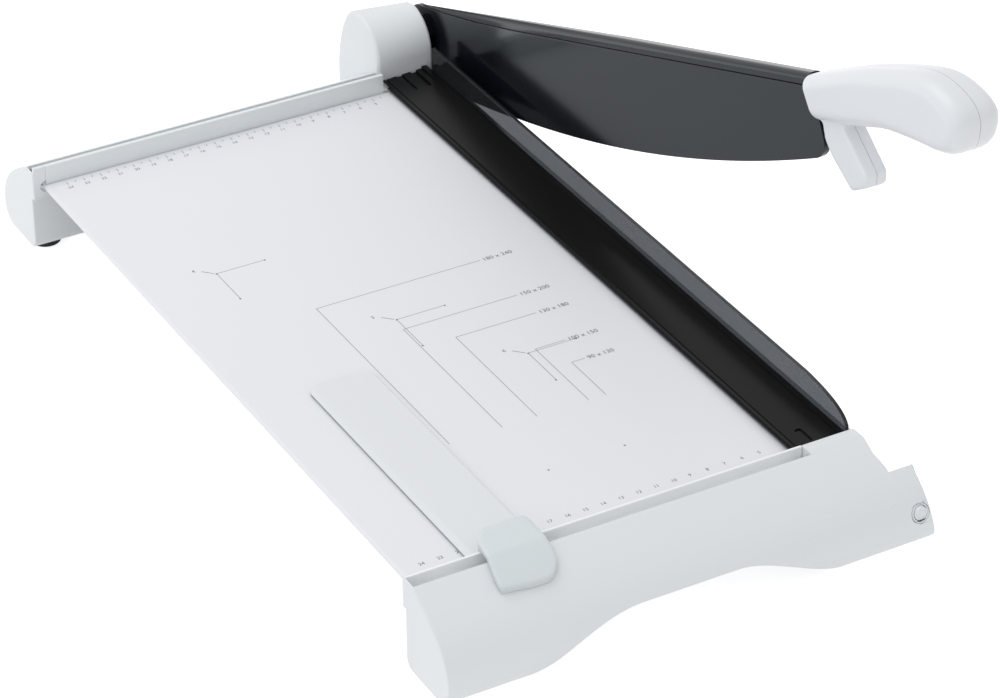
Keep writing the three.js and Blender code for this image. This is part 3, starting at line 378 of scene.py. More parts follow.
def make_frosted_plastic(name, face, edge):
    """Frosted clear plastic: pale on its faces, with painted shade on its cut edges, which stand
    upright.
    """
    material = coated(
        name, face, drift=0.02, roughness=0.4, grain=2500, bump=(0.06, 0.00004),
        shader={"Transmission Weight": 0.08, "IOR": 1.45},
    )
    graph = Graph(material.node_tree)
    texture = next(node for node in material.node_tree.nodes if node.bl_idname == "ShaderNodeGroup")
    # Painted shade: the edge colour is mixed in as a face turns from upward to upright
    normal = graph.add("ShaderNodeNewGeometry").outputs["Normal"]
    upward = graph.add("ShaderNodeSeparateXYZ", {"Vector": normal}).outputs["Z"]
    share = graph.add("ShaderNodeMapRange", {"Value": upward, "From Min": 0.1, "From Max": 0.75})
    painted_edge_shade = graph.add(
        "ShaderNodeMixRGB",
        {"Fac": share.outputs["Result"], "Color1": colour(*edge), "Color2": colour(*face)},
    )
    graph.link(painted_edge_shade.outputs["Color"], texture.inputs["Colour"])
    return material


# The second colour of each is the painted shade of its upright edges
frosted_plastic = make_frosted_plastic("frosted gauge plastic", (238, 241, 244), (166, 173, 177))
carrier_plastic = make_frosted_plastic("frosted carrier plastic", (226, 233, 236), (214, 221, 224))

NODE_FINISHES = {
    casing_plastic: ("front_casing", "rear_casing", "pivot_housing"),
    handle_plastic: ("handle_left", "handle_right", "lock_button"),
    table_coat: ("table_plate",),
    clamp_plastic: ("clamp_bar",),
    # The thrust washer wears the dark arm coat as painted shade, so the gap between housing and arm
    # shows dark
    arm_coat: ("arm_beam", "upper_blade", "thrust_washer"),
    rail_aluminium: ("front_rail", "rear_rail"),
    frame_coat: ("knife_beam", "side_rail"),
    blade_steel: ("lower_knife",),
    bracket_coat: ("pivot_bracket",),
    bearing_bronze: ("pivot_bush",),
    foot_rubber: (
        "clamp_sole", "foot_front_left", "foot_rear_left", "foot_front_right", "foot_rear_right",
    ),
    smoked_sheet: ("cut_guard",),
    frosted_plastic: ("gauge_bar", "gauge_tongue"),
    carrier_plastic: ("gauge_saddle",),
}
finish_of = {node: material for material, nodes in NODE_FINISHES.items() for node in nodes}
for node_name, node_object in frame["nodes"].items():
    node_object.data.materials.clear()
    node_object.data.materials.append(finish_of.get(node_name, plated_steel))

# Sizes of the pieces, in millimetres from the cutting origin: gaps, tools and rounded edges
FIT = 0.3
OVERRUN = 4
BEYOND = 60
MOULD_EDGE = 0.35
METAL_EDGE = 0.25
FINE_EDGE = 0.2
FIRM_EDGE = 0.3

# Table and stop rails. A side is the Y of its stop's face and the way out from the table.
TABLE_LEFT = -252
TABLE_RIGHT = -8.3
TABLE_DEPTH = 428
TABLE_SHEET = 3
TABLE_ROUND = 1.35
SEAT = -3.3
RAIL_UNDER = -4.8
RAIL_FLANGE = 8
RAIL_OUTER = 10.8
RAIL_EDGE = 0.3
GROOVE_END = 9.3
UPSTAND_TOP = 4.5
STOP_HEIGHT = 8
REAR_STOP_HEIGHT = 11
FRONT = (0, -1)
REAR = (TABLE_DEPTH, 1)
FRONT_LIP = 1.5
REAR_LIP = 2.5

# Casings. Cheek and brow are the two handles of their curved front, in depth and height.
CASING_LEFT = -258
CASING_RIGHT = -5
END_FLARE = 3
FLARE_START = -18
FLARE_END = -27
CASING_FLOOR = -42
CASING_DEPTH = 45
CASING_WALL = 2.5
CASING_ROUND = 11
CASING_HEEL = 6
CASING_SETBACK = 3
CASING_CAP_DROP = 9
CASING_MOUTH = 9.6
CASING_EDGE = 0.8
RAIL_CAP = 1.2
CHEEK = (45, -14)
BROW = (31.95, -3)
ARCH_LEFT = -217
ARCH_RIGHT = -30
ARCH_HEIGHT = 23.3
ARCH_FLAT = (-150, -98)
TAB_REACH = 18.5
TAB_REAR = -28
TAB_TOP = 11.2

# Feet, and the rooms for the frame: where each starts and ends in X, and its bottom
FOOT_FRONT = -17
FOOT_REAR = 445
FEET = {
    "front_left": (-246, FOOT_FRONT), "rear_left": (-246, FOOT_REAR),
    "front_right": (-20, FOOT_FRONT), "rear_right": (-23.5, FOOT_REAR),
}
FOOT_RADIUS = 8.5
FOOT_BOTTOM = -46
FOOT_HEAD_TOP = -41.9
FOOT_SCREW_HEAD = 4.1
FOOT_SCREW_HOLE = 2.3
FOOT_BOSS_RADIUS = 4.9
LEFT_BOSS_TOP = -34
SCREW_BOSS_PLACE = -231
SIDE_RAIL_ROOM = (-240.3, -221.7, -15.3)
BEAM_ROOM = (-36, -8, -33.3)
REAR_RAIL_LEFT = -250
CORNER_POCKET = 3.6
FRONT_RAIL_RIGHT = -36

# Pivot housing. Its section is counted in depth from the table's rear.
HOUSING_LEFT = -40
HOUSING_RIGHT = -4.3
HOUSING_GAP = 6.7
HOUSING_TOP = 34.6
HOUSING_DEPTH = 58
HOUSING_ROUND = 12
HOUSING_EDGE = 2.2
HOUSING_CROWN = (29, 37)
HOUSING_CHEEK = -10
HOUSING_BROW = 13
HOUSING_WALL_TOP = -3
ROUNDING_START = -10
ROUNDING_RISE = 24
BRACKET_ROOM_END = 472.3
BUSH_ROOM = 11.3
BOSS_RADIUS = 20.5

# Arm, blade and screws. The depths of a screw are its end, its head's underside and its head's top.
ARM_REST = math.radians(19.9)
ARM_SIDE = 0.3
BLADE_FAR = 3.8
WEB_NEAR = 4.1
WEB_FAR = 9.9
ARM_TOP = 17.9
BEAD_UNDER = 11.9
BEAD_LEFT = 1.4
BEAD_RIGHT = 10
BEAD_TAPER = 235
BEAD_NARROW = 0.06
HUB_RADIUS = 14
HUB_FAR = 12
ARM_SHOULDER = 2.6
WEB_LIFT = 16
ARM_BULGE = 6
HINGE_HOLE = 6.3
BLADE_SCREWS = (70, 170, 270, 370)
BLADE_SCREW_HEIGHT = -5
BLADE_HEAD_ROOM = (4.1, 2.7)
GRIP_SCREWS = (447, 498)
GRIP_SCREW_HEIGHT = 6.5
GRIP_SCREW_HOLE = 2.3
SCREW_HEAD = 3.8
SCREW_SHANK = 2
SCREW_SOCKET = 1.7
BLADE_SCREW_DEPTHS = (2.1, 7.5, 9.9)
GRIP_SCREW_DEPTHS = (1.5, 12, 14.4)
SHAFT_HEAD = 11
SHAFT_RADIUS = 6
SHAFT_SOCKET = 4
SHAFT_DEPTHS = (-35, 12.3, 15.8)
ROOT_TOP = 422
ROOT_MIDDLE = 430.4
ROOT_BOTTOM = 430.6
BLADE_DROP = 43
BLADE_PEAK = 200
BLADE_ARC = 1315
BLADE_HEEL = 56
BLADE_START = 24
BLADE_TOE = 9
BLADE_BACK = ((130, 12), (70, 12.8), (25, 15.4))
ARM_END = 660

# Handle. The grip's outline is in shares of its length and height, from the arm's end. To melt a
# piece takes the size of a voxel and the number of smoothing passes.
GRIP_LENGTH = 138
GRIP_HEIGHT = 29
GRIP_HALF = 10.5
GRIP_EDGE = 7
GRIP_FLARE = 0.33
HANDLE_MIDDLE = 7
HANDLE_SEAM = 0.12
GRIP_MELT = (0.9, 8)
PRONG_NEAR = 0.5
PRONG_FAR = 13.5
PRONG_EDGE = 1.2
GUSSET = ((-3.2, 8), (-3.2, -1.2), (0.5, -3.2), (0.5, -26), (12, -26), (12, 8))
GUSSET_REACH = 40
KNIFE_ROOM = ((ROOT_TOP, -3.4), (455.5, -3.4), (468, -5), (468, -BEYOND), (ROOT_TOP, -BEYOND))
KNIFE_ROOM_RIGHT = 0.4
GRIP_OUTLINE = (
    (-0.15, 0.43), (0, 0.59), (0.18, 0.74), (0.36, 0.87), (0.54, 0.95), (0.69, 0.99), (0.81, 0.95),
    (0.915, 0.75), (0.98, 0.5), (0.995, 0.24), (0.965, -0.08), (0.91, -0.26), (0.83, -0.28),
    (0.74, -0.22), (0.6, -0.13), (0.48, -0.09), (0.36, -0.12), (0.2, -0.16), (-0.15, -0.16),
)
TANG = (410, 512, 0, 13)

# Clamp and guard. A slot is its middle in X, its front and its rear.
CLAMP_LEFT = -37.5
CLAMP_RIGHT = -9.3
CLAMP_FRONT = 0.8
CLAMP_REAR = 434
CLAMP_UNDER = 2.9
CLAMP_TOP = 4
CLAMP_RIB = (5.2, 6.5, 3.2)
CLAMP_GROOVE = (-35.9, -35.1, 3.45)
CLAMP_SLOTS = ((-27, 5, 17), (-27, 414, 438), (-18, 414, 438))
SLOT_HALF = 1.8
SLOT_CORNER = 1
SLOT_FLOOR = 3.65
POST_PLACE = -27
POSTS = (22, 406)
POST_ROOM = 3.3
POST_ROOM_TOP = 3.6
GUARD_UNDER = 3.4
GUARD_REAR = 427.2
GUARD_NOSE = (39, 9)
GUARD_TOP = 20.6
GUARD_LEFT = -9
GUARD_RIGHT = -7

# Sliding gauge. The saddle's plan has the radius of each corner.
GAUGE_LEFT = -220
GAUGE_RIGHT = -184
GAUGE_REACH = 172
GAUGE_BEVEL = 4
GAUGE_FRONT = 0.6
GAUGE_UNDER = 0.3
GAUGE_EDGE = 1.5
GAUGE_TOP = 2.3
SADDLE_LEFT = -215.5
SADDLE_RIGHT = -185.5
SADDLE_REACH = 14
SADDLE_FALL = 28.5
SADDLE_HEIGHT = 4
SADDLE_UNDER = 2.6
SADDLE_MELT = (0.5, 45)
SADDLE_PLAN = (
    (-220.3, -25.4, 2.5), (SADDLE_RIGHT, -28.8, 11), (SADDLE_RIGHT + 0.5, SADDLE_REACH, 7),
    (-208.5, SADDLE_REACH, 5), (-216.5, 2, 10),
)

# Latch
LATCH_X = 7.4
LATCH_Z = -21.5
BUTTON_RADIUS = 3.7
RING_WIDTH = 1.2
BUTTON_FACE = -44.17
BUTTON_END = -38.17
RING_END = -41.47
BUTTON_DISH = 0.35
BUTTON_RIM = 1.3
PIN_RADIUS = 1.5
PIN_END = -12.9
GUIDE_RADIUS = 4
GUIDE_ENDS = (-30.5, -12.6)
SPRING_ROOM_END = -30.67


# Outlines, bodies drawn out from them, and what is done to a body
def placed(axis, a, b, along):
    """The place of point (a, b) of an outline that is drawn out along an axis. The outline of
    "arm" is in reach from the hinge and height above the arm's line, and is drawn out along X. One
    of "reach" is in X and that height, and is drawn out along the reach."""
    if axis == "x":
        return at(along, a, b)
    if axis == "y":
        return at(a, along, b)
    if axis == "z":
        return at(a, b, along)
    across, reach, height = (a, along, b) if axis == "reach" else (along, a, b)
    turn, rise = math.cos(ARM_REST), math.sin(ARM_REST)
    y = PIVOT_Y - reach * turn + height * rise
    return at(across, y, PIVOT_Z + reach * rise + height * turn)


def rounded(corners, steps=6):
    """A closed outline whose corners, given as (a, b, radius), are rounded by arcs."""
    points = []
    for i, (a, b, *radius) in enumerate(corners):
        corner = Vector((a, b))
        if not radius:
            points.append(corner)
            continue
        before = (Vector(corners[i - 1][:2]) - corner).normalized()
        after = (Vector(corners[(i + 1) % len(corners)][:2]) - corner).normalized()
        half = before.angle(after) / 2
        centre = corner + (before + after).normalized() * radius[0] / math.sin(half)
        start = corner + before * radius[0] / math.tan(half) - centre
        sweep = (math.pi - 2 * half) * (1 if after.x * before.y - after.y * before.x > 0 else -1)
        for step in range(steps + 1):
            angle = sweep * step / steps
            turned = Matrix.Rotation(angle, 2) @ start
            points.append(centre + turned)
    return points


def curved(start, first, second, end, steps=20):
    """Points along a Bezier curve, without its start."""
    points = []
    for step in range(1, steps + 1):
        share = step / steps
        rest = 1 - share
        weights = (rest**3, 3 * rest**2 * share, 3 * rest * share**2, share**3)
        corners = (start, first, second, end)
        points.append(sum((Vector(p) * w for p, w in zip(corners, weights)), Vector((0, 0))))
    return points


def arc(a, b, radius, start, end, steps=10):
    """Points along an arc, its angles in degrees."""
    angles = [math.radians(start + (end - start) * step / steps) for step in range(steps + 1)]
    return [(a + radius * math.cos(angle), b + radius * math.sin(angle)) for angle in angles]


def through(points, steps):
    """A smooth line through some points."""
    line = []
    last = len(points) - 1
    for i in range(last):
        before, here, there, after = (
            Vector(points[min(max(j, 0), last)]) for j in (i - 1, i, i + 1, i + 2)
        )
        for step in range(steps):
            t = step / steps
            line.append(0.5 * (2 * here + (there - before) * t
                               + (2 * before - 5 * here + 4 * there - after) * t**2
                               + (3 * here - before - 3 * there + after) * t**3))
    line.append(Vector(points[-1]))
    return line


def use_modifier(piece, kind, **settings):
    """Adds a modifier with these settings and applies it."""
    pick(piece)
    bpy.ops.object.modifier_add(type=kind)
    modifier = piece.modifiers[-1]
    for name, value in settings.items():
        setattr(modifier, name, value)
    bpy.ops.object.modifier_apply(modifier=modifier.name)


def soften(piece, width, steps=3, angle=40):
    """Rounds the sharp edges of a piece."""
    use_modifier(piece, "BEVEL", width=width * MM, segments=steps, limit_method="ANGLE",
                 angle_limit=math.radians(angle), use_clamp_overlap=False)


def break_edges(piece, width):
    """The fine last rounding of a piece, which leaves its shallow edges alone."""
    soften(piece, width, 2, 50)


def drawn_out(axis, outline, low, high, edge=0, steps=3):
    """An outline filled as one face and extruded from one depth to another, its edges rounded."""
    deselect()
    bpy.ops.mesh.primitive_circle_add(vertices=len(outline), radius=MM, fill_type="NGON",
                                      location=(0, 0, 0))
    piece = bpy.context.object
    for vertex, (a, b) in zip(piece.data.vertices, outline):
        vertex.co = placed(axis, a, b, low)
    bpy.ops.object.mode_set(mode="EDIT")
    bpy.ops.mesh.select_all(action="SELECT")
    shift = placed(axis, 0, 0, high) - placed(axis, 0, 0, low)
    bpy.ops.mesh.extrude_region_move(TRANSFORM_OT_translate={"value": shift})
    bpy.ops.mesh.select_all(action="SELECT")
    bpy.ops.mesh.normals_make_consistent(inside=False)
    bpy.ops.object.mode_set(mode="OBJECT")
    if edge:
        soften(piece, edge, steps)
    return piece


def rectangle(a_low, a_high, b_low, b_high):
    return [(a_low, b_low), (a_high, b_low), (a_high, b_high), (a_low, b_high)]


def box(x_low, x_high, y_low, y_high, z_low, z_high, edge=0):
    return drawn_out("z", rectangle(x_low, x_high, y_low, y_high), z_low, z_high, edge)


def rod(axis, a, b, radius, low, high, edge=0, sides=48):
    outline = arc(a, b, radius, 0, 360 * (sides - 1) / sides, sides - 1)
    return drawn_out(axis, outline, low, high, edge)


def combine(piece, operation, *tools):
    """Joins, cuts or intersects a piece with others, which are used up."""
    for tool in tools:
        use_modifier(piece, "BOOLEAN", operation=operation, solver="EXACT", object=tool)
        bpy.data.objects.remove(tool)
    return piece


def join(piece, *tools):
    return combine(piece, "UNION", *tools)


def cut(piece, *tools):
    return combine(piece, "DIFFERENCE", *tools)


def common(piece, *tools):
    return combine(piece, "INTERSECT", *tools)


def melt(piece, voxel, passes):
    """Runs the joints of a moulded piece together into one smooth skin."""
    use_modifier(piece, "REMESH", mode="VOXEL", voxel_size=voxel * MM)
    use_modifier(piece, "SMOOTH", factor=0.5, iterations=passes)
    return piece


def finished(piece, name, material, slot, body, *nodes, angle=35):
    """Smooths the shading of a piece, names it and puts it in its place on a body."""
    pick(piece)
    bpy.ops.object.shade_smooth_by_angle(angle=math.radians(angle))
    use_modifier(piece, "WEIGHTED_NORMAL", keep_sharp=True)
    piece.name = name
    piece.data.name = name
    dress(piece, material, body, nodes)


# Table and stop rails
def add_table():
    outline = rectangle(TABLE_LEFT, TABLE_RIGHT, FIT, TABLE_DEPTH - FIT)
    plate = drawn_out("z", outline, -TABLE_SHEET, 0, TABLE_ROUND, 5)
    finished(plate, "table", table_coat, "table", "base", "table_plate", angle=60)


def facing(section, side):
    """A section in depth out from a stop's face and height, turned to the front or to the rear."""
    face_y, outward = side
    return [(face_y + outward * depth, height) for depth, height in section]


def stop_section(lip, height):
    """A stop rail's section: the flange under the table, the stop and the groove behind it."""
    return [
        (-RAIL_FLANGE, RAIL_UNDER), (RAIL_OUTER, RAIL_UNDER), (RAIL_OUTER, UPSTAND_TOP),
        (GROOVE_END, UPSTAND_TOP), (GROOVE_END, SEAT), (lip, SEAT), (lip, height), (0, height),
        (0, SEAT), (-RAIL_FLANGE, SEAT),
    ]


def add_front_stop():
    section = facing(stop_section(FRONT_LIP, STOP_HEIGHT), FRONT)
    rail = drawn_out("x", section, CASING_LEFT + RAIL_CAP + FIT, FRONT_RAIL_RIGHT, RAIL_EDGE)
    flange_end = RAIL_FLANGE + OVERRUN
    corner = box(CASING_LEFT, REAR_RAIL_LEFT, 0, flange_end, RAIL_UNDER - OVERRUN, SEAT + 1)
    # The front stop wears the lighter copy of the rail aluminium, which is painted light
    finished(cut(rail, corner), "front_stop", front_rail_painted_light, "aluminium", "base", "front_rail")


def add_rear_stop():
    section = facing(stop_section(REAR_LIP, REAR_STOP_HEIGHT), REAR)
    rail = drawn_out("x", section, REAR_RAIL_LEFT, HOUSING_LEFT - FIT, RAIL_EDGE)
    finished(rail, "rear_stop", rail_aluminium, "aluminium", "base", "rear_rail")


# Casings
def casing_section():
    """Depth out from the stop's face and height of a casing: cap, foot, and the curved front."""
    turn = CASING_DEPTH - CASING_ROUND
    low = CASING_FLOOR + CASING_ROUND
    heel = (CASING_SETBACK + CASING_HEEL, CASING_FLOOR + CASING_HEEL, CASING_HEEL)
    return [
        (0, -CASING_CAP_DROP),
        (CASING_SETBACK, -CASING_CAP_DROP),
        *arc(*heel, 180, 270, 6),
        *arc(turn, low, CASING_ROUND, -90, 0),
        *curved((CASING_DEPTH, low), CHEEK, BROW, (CASING_MOUTH, STOP_HEIGHT), 24),
        (0, STOP_HEIGHT),
    ]


def casing_cavity():
    """What is hollow inside a casing, one wall in from its section."""
    inner = CASING_SETBACK + CASING_WALL
    floor = CASING_FLOOR + CASING_WALL
    turn = CASING_DEPTH - CASING_ROUND
    low = CASING_FLOOR + CASING_ROUND
    round_inner = CASING_ROUND - CASING_WALL
    far = CASING_DEPTH - CASING_WALL
    cheek = (far, CHEEK[1] - CASING_WALL * 0.2)
    brow = (BROW[0] - CASING_WALL * 0.4, BROW[1] - CASING_WALL)
    mouth = (CASING_MOUTH, STOP_HEIGHT - CASING_WALL)
    return [
        (inner, floor), *arc(turn, low, round_inner, -90, 0),
        *curved((far, low), cheek, brow, mouth), (inner, STOP_HEIGHT - CASING_WALL),
    ]


def rail_room():
    """What a rail takes up of its casing, and the open groove above it."""
    outer = RAIL_OUTER + FIT
    top = STOP_HEIGHT + OVERRUN
    return [
        (-OVERRUN, RAIL_UNDER - FIT), (outer, RAIL_UNDER - FIT), (outer, UPSTAND_TOP + FIT),
        (CASING_MOUTH, UPSTAND_TOP + FIT), (CASING_MOUTH, top), (-OVERRUN, top),
    ]


def casing_shell(side, right, room_left, room_right):
    """A casing's hollow body, closed at both ends, with room for its rail."""
    left = CASING_LEFT
    body = drawn_out("x", facing(casing_section(), side), left, right, CASING_EDGE, 3)
    cavity = facing(casing_cavity(), side)
    room = facing(rail_room(), side)
    return cut(
        body,
        drawn_out("x", cavity, left + CASING_WALL, right - CASING_WALL),
        drawn_out("x", room, room_left, room_right),
    )


def arch_outline():
    """The grip arch in the front casing's lower edge, in X and height."""
    low = CASING_FLOOR
    top = CASING_FLOOR + ARCH_HEIGHT
    left, right = ((x, top) for x in ARCH_FLAT)
    return [
        (ARCH_LEFT, low - OVERRUN), (ARCH_LEFT, low),
        *curved((ARCH_LEFT, low), (-190.2, low + 12.6), (-174.8, top), left),
        right,
        *curved(right, (-79.6, top), (-62, low + 11.6), (ARCH_RIGHT, low)),
        (ARCH_RIGHT, low - OVERRUN),
    ]


def frame_window(x_low, x_high, bottom, side):
    """Room in a casing's inner wall for a part of the frame."""
    inner = CASING_SETBACK + CASING_WALL + FIT
    outline = facing(rectangle(-OVERRUN, inner, bottom, SEAT), side)
    return drawn_out("x", outline, x_low, x_high)


def foot_boss(x, y, top):
    return rod("z", x, y, FOOT_BOSS_RADIUS, CASING_FLOOR + 1, top)


def front_skin(x_low, x_high):
    """The front casing's section, drawn out along a stretch."""
    return drawn_out("x", facing(casing_section(), FRONT), x_low, x_high)


def latch_rod(radius, low, high, edge=0, sides=48):
    """A round bar on the latch button's axis."""
    return rod("y", LATCH_X, LATCH_Z, radius, low, high, edge, sides)


def add_front_casing():
    flare = CASING_RIGHT + END_FLARE
    body = casing_shell(FRONT, flare, CASING_LEFT + RAIL_CAP, FRONT_RAIL_RIGHT + FIT)
    end = [(CASING_RIGHT, OVERRUN), (CASING_RIGHT, FLARE_START), (flare + 0.01, FLARE_END),
           (flare + 0.01, -BEYOND), (BEYOND, -BEYOND), (BEYOND, OVERRUN)]
    before = -CASING_DEPTH - OVERRUN
    cut(body, drawn_out("y", arch_outline(), before, OVERRUN), drawn_out("z", end, -BEYOND, BEYOND))
    root = CASING_RIGHT - CASING_WALL
    foot = (TAB_REACH, CASING_FLOOR)
    tab_outline = [
        (root, CASING_FLOOR - OVERRUN), (TAB_REACH, CASING_FLOOR - OVERRUN), foot,
        *curved(foot, (13.6, -28.3), (TAB_TOP, -11.7), (TAB_TOP, STOP_HEIGHT), 16),
        (root, STOP_HEIGHT),
    ]
    tab = common(front_skin(root, TAB_REACH), drawn_out("y", tab_outline, before, TAB_REAR))
    join(
        body,
        tab,
        latch_rod(GUIDE_RADIUS, *GUIDE_ENDS),
        foot_boss(*FEET["front_left"], LEFT_BOSS_TOP),
        foot_boss(*FEET["front_right"], BEAM_ROOM[2]),
        foot_boss(SCREW_BOSS_PLACE, FOOT_FRONT, SIDE_RAIL_ROOM[2]),
    )
    cut(
        body,
        frame_window(*SIDE_RAIL_ROOM, FRONT),
        frame_window(*BEAM_ROOM, FRONT),
        latch_rod(BUTTON_RADIUS + FIT, before, SPRING_ROOM_END),
        latch_rod(BUTTON_RADIUS + RING_WIDTH + FIT, before, RING_END + FIT),
        latch_rod(PIN_RADIUS + FIT, before, 0),
    )
    break_edges(body, MOULD_EDGE)
    finished(body, "front_cover", casing_plastic, "casing", "base", "front_casing")


def add_rear_casing():
    room_left = REAR_RAIL_LEFT - 0.05
    body = casing_shell(REAR, HOUSING_LEFT - FIT, room_left, HOUSING_LEFT + OVERRUN)
    lip_end = TABLE_DEPTH + REAR_LIP
    join(
        body,
        box(CASING_LEFT + CASING_EDGE, room_left, TABLE_DEPTH, lip_end, -CASING_CAP_DROP,
            REAR_STOP_HEIGHT, CASING_EDGE / 2),
        foot_boss(*FEET["rear_left"], LEFT_BOSS_TOP),
        foot_boss(SCREW_BOSS_PLACE, FOOT_REAR, SIDE_RAIL_ROOM[2]),
    )
    cut(
        body,
        box(CASING_LEFT + RAIL_CAP, REAR_RAIL_LEFT, lip_end, TABLE_DEPTH + CASING_MOUTH, SEAT, 12),
        rod("y", REAR_RAIL_LEFT, -TABLE_SHEET / 2, CORNER_POCKET, TABLE_DEPTH - OVERRUN, lip_end),
        frame_window(*SIDE_RAIL_ROOM, REAR),
    )
    break_edges(body, MOULD_EDGE)
    finished(body, "rear_cover", casing_plastic, "casing", "base", "rear_casing")


def housing_section(inset):
    """The housing's section in depth and height, or one that lies inside it."""
    near = HOUSING_GAP + inset
    top = HOUSING_TOP - inset
    far = HOUSING_DEPTH - inset
    floor = CASING_FLOOR + inset
    turn = HOUSING_DEPTH - HOUSING_ROUND
    low = CASING_FLOOR + HOUSING_ROUND
    crown_near, crown_far = ((depth, top) for depth in HOUSING_CROWN)
    cheek = (far, HOUSING_CHEEK)
    return [
        (near, floor),
        *arc(turn, low, HOUSING_ROUND - inset, -90, 0),
        cheek,
        *curved(cheek, (far, 10), (47, top), crown_far),
        crown_near,
        *curved(crown_near, (17.5, top), (near, 25), (near, HOUSING_BROW)),
    ]


def round_off(piece, inset):
    """Draws the housing's rear in towards the arm, where it ends as a boss round the hinge."""
    for vertex in piece.data.vertices:
        x, y, z = (vertex.co - origin) / MM
        share = (x - HOUSING_LEFT) / (HOUSING_RIGHT - HOUSING_LEFT)
        share *= min(max((z - ROUNDING_START) / ROUNDING_RISE, 0), 1)
        spoke = Vector((y - PIVOT_Y, z - PIVOT_Z))
        if y > PIVOT_Y and spoke.length > BOSS_RADIUS - inset:
            spoke *= 1 + share * ((BOSS_RADIUS - inset) / spoke.length - 1)
            vertex.co = at(x, PIVOT_Y + spoke.x, PIVOT_Z + spoke.y)
    return piece


def add_pivot_housing():
    outer = facing(housing_section(0), REAR)
    inner = facing(housing_section(CASING_WALL), REAR)
    left = HOUSING_LEFT + CASING_WALL
    right = HOUSING_RIGHT - CASING_WALL
    body = round_off(drawn_out("x", outer, HOUSING_LEFT, HOUSING_RIGHT, HOUSING_EDGE, 8), 0)
    wall_end = TABLE_DEPTH + HOUSING_GAP + CASING_WALL
    join(body, box(HOUSING_LEFT, HOUSING_RIGHT, TABLE_DEPTH + 1, wall_end, CASING_FLOOR, 0))
    before = TABLE_DEPTH - OVERRUN
    cut(
        body,
        round_off(drawn_out("x", inner, left, right), CASING_WALL),
        box(left, right, before, wall_end + OVERRUN, CASING_FLOOR + CASING_WALL, HOUSING_WALL_TOP),
        box(left, 0, before, BRACKET_ROOM_END, BEAM_ROOM[2], HOUSING_WALL_TOP),
        rod("x", PIVOT_Y, PIVOT_Z, BUSH_ROOM, right - OVERRUN, 0),
    )
    join(body, foot_boss(*FEET["rear_right"], BEAM_ROOM[2]))
    break_edges(body, FIRM_EDGE)
    finished(body, "pivot_cover", casing_plastic, "casing", "base", "pivot_housing")


# Latch
def add_latch():
    head = latch_rod(BUTTON_RADIUS, BUTTON_FACE, BUTTON_END, 0.6)
    dish = latch_rod(BUTTON_RADIUS - BUTTON_RIM, BUTTON_FACE - 1, BUTTON_FACE + BUTTON_DISH)
    join(head, latch_rod(PIN_RADIUS, BUTTON_END - 1, PIN_END, 0.3, 24))
    cut(head, dish)
    break_edges(head, METAL_EDGE)
    finished(head, "latch_button", handle_plastic, "handle", "lock", "lock_button")
    ring = cut(
        latch_rod(BUTTON_RADIUS + RING_WIDTH, -CASING_DEPTH, RING_END),
        latch_rod(BUTTON_RADIUS + FIT, -CASING_DEPTH - 1, RING_END + 1),
    )
    common(ring, front_skin(0, TAB_REACH))
    break_edges(ring, FINE_EDGE)
    finished(ring, "latch_ring", casing_plastic, "aluminium", "base", "lock_ring")


# Clamp bar and guard
def add_clamp():
    slope_top, rib_top, rib_width = CLAMP_RIB
    rib_left = CLAMP_RIGHT - rib_width
    groove_left, groove_right, groove_floor = CLAMP_GROOVE
    section = [
        (CLAMP_LEFT, CLAMP_UNDER), (CLAMP_RIGHT, CLAMP_UNDER), (CLAMP_RIGHT, rib_top),
        (rib_left, rib_top), (rib_left, slope_top), (groove_right, CLAMP_TOP),
        (groove_right, groove_floor), (groove_left, groove_floor), (groove_left, CLAMP_TOP),
        (CLAMP_LEFT, CLAMP_TOP),
    ]
    bar = drawn_out("y", section, CLAMP_FRONT, CLAMP_REAR)
    for x, front, rear in CLAMP_SLOTS:
        corners = rectangle(x - SLOT_HALF, x + SLOT_HALF, front, rear)
        outline = rounded([(*corner, SLOT_CORNER) for corner in corners], 4)
        cut(bar, drawn_out("z", outline, SLOT_FLOOR, rib_top + OVERRUN))
    for y in POSTS:
        cut(bar, rod("z", POST_PLACE, y, POST_ROOM, 0, POST_ROOM_TOP))
    break_edges(bar, FINE_EDGE)
    finished(bar, "clamp_strip", clamp_plastic, "clamp", "clamp", "clamp_bar")


def add_guard():
    """The smoked sheet that stands on the clamp bar, its front end rounded down."""
    nose_end, nose_height = GUARD_NOSE
    outline = [
        (CLAMP_FRONT, GUARD_UNDER), (GUARD_REAR, GUARD_UNDER), (GUARD_REAR, GUARD_TOP),
        (nose_end, GUARD_TOP),
        *curved((nose_end, GUARD_TOP), (15.7, 19.3), (3.8, 15.4), (CLAMP_FRONT, nose_height)),
    ]
    sheet = drawn_out("x", outline, GUARD_LEFT, GUARD_RIGHT, MOULD_EDGE, 3)
    finished(sheet, "guard_sheet", smoked_sheet, "guard", "clamp", "cut_guard")


# Arm and blade
def blade_edge(reach):
    """Height of the blade's edge, nearly an arc of a wide circle."""
    return -BLADE_DROP + (reach - BLADE_PEAK) ** 2 / (2 * BLADE_ARC)


def beyond_arm(shift):
    """All that lies beyond the slightly curved end of the arm."""
    root = curved((ROOT_TOP + shift, ARM_TOP),
                  ((ROOT_TOP + 2 * ROOT_MIDDLE) / 3 + shift, (ARM_TOP - ARM_BULGE) / 3),
                  ((ROOT_BOTTOM + 2 * ROOT_MIDDLE) / 3 + shift, (-ARM_TOP - ARM_BULGE) / 3),
                  (ROOT_BOTTOM + shift, -ARM_TOP), 16)
    outline = [(ARM_END, BEYOND), (ROOT_TOP + shift, BEYOND), (ROOT_TOP + shift, ARM_TOP), *root,
               (ROOT_BOTTOM + shift, -BEYOND), (ARM_END, -BEYOND)]
    return drawn_out("arm", outline, -BEYOND, BEYOND)


def hinge_hole():
    return rod("arm", 0, 0, HINGE_HOLE, -OVERRUN, 16)


def tang_outline(grow):
    """The arm's end inside the handle, or the room for it."""
    start, end, low, high = TANG
    return rounded([(start, low - grow), (end + grow, low - grow, 5), (end + grow, high + grow, 5),
                    (start, high + grow)])


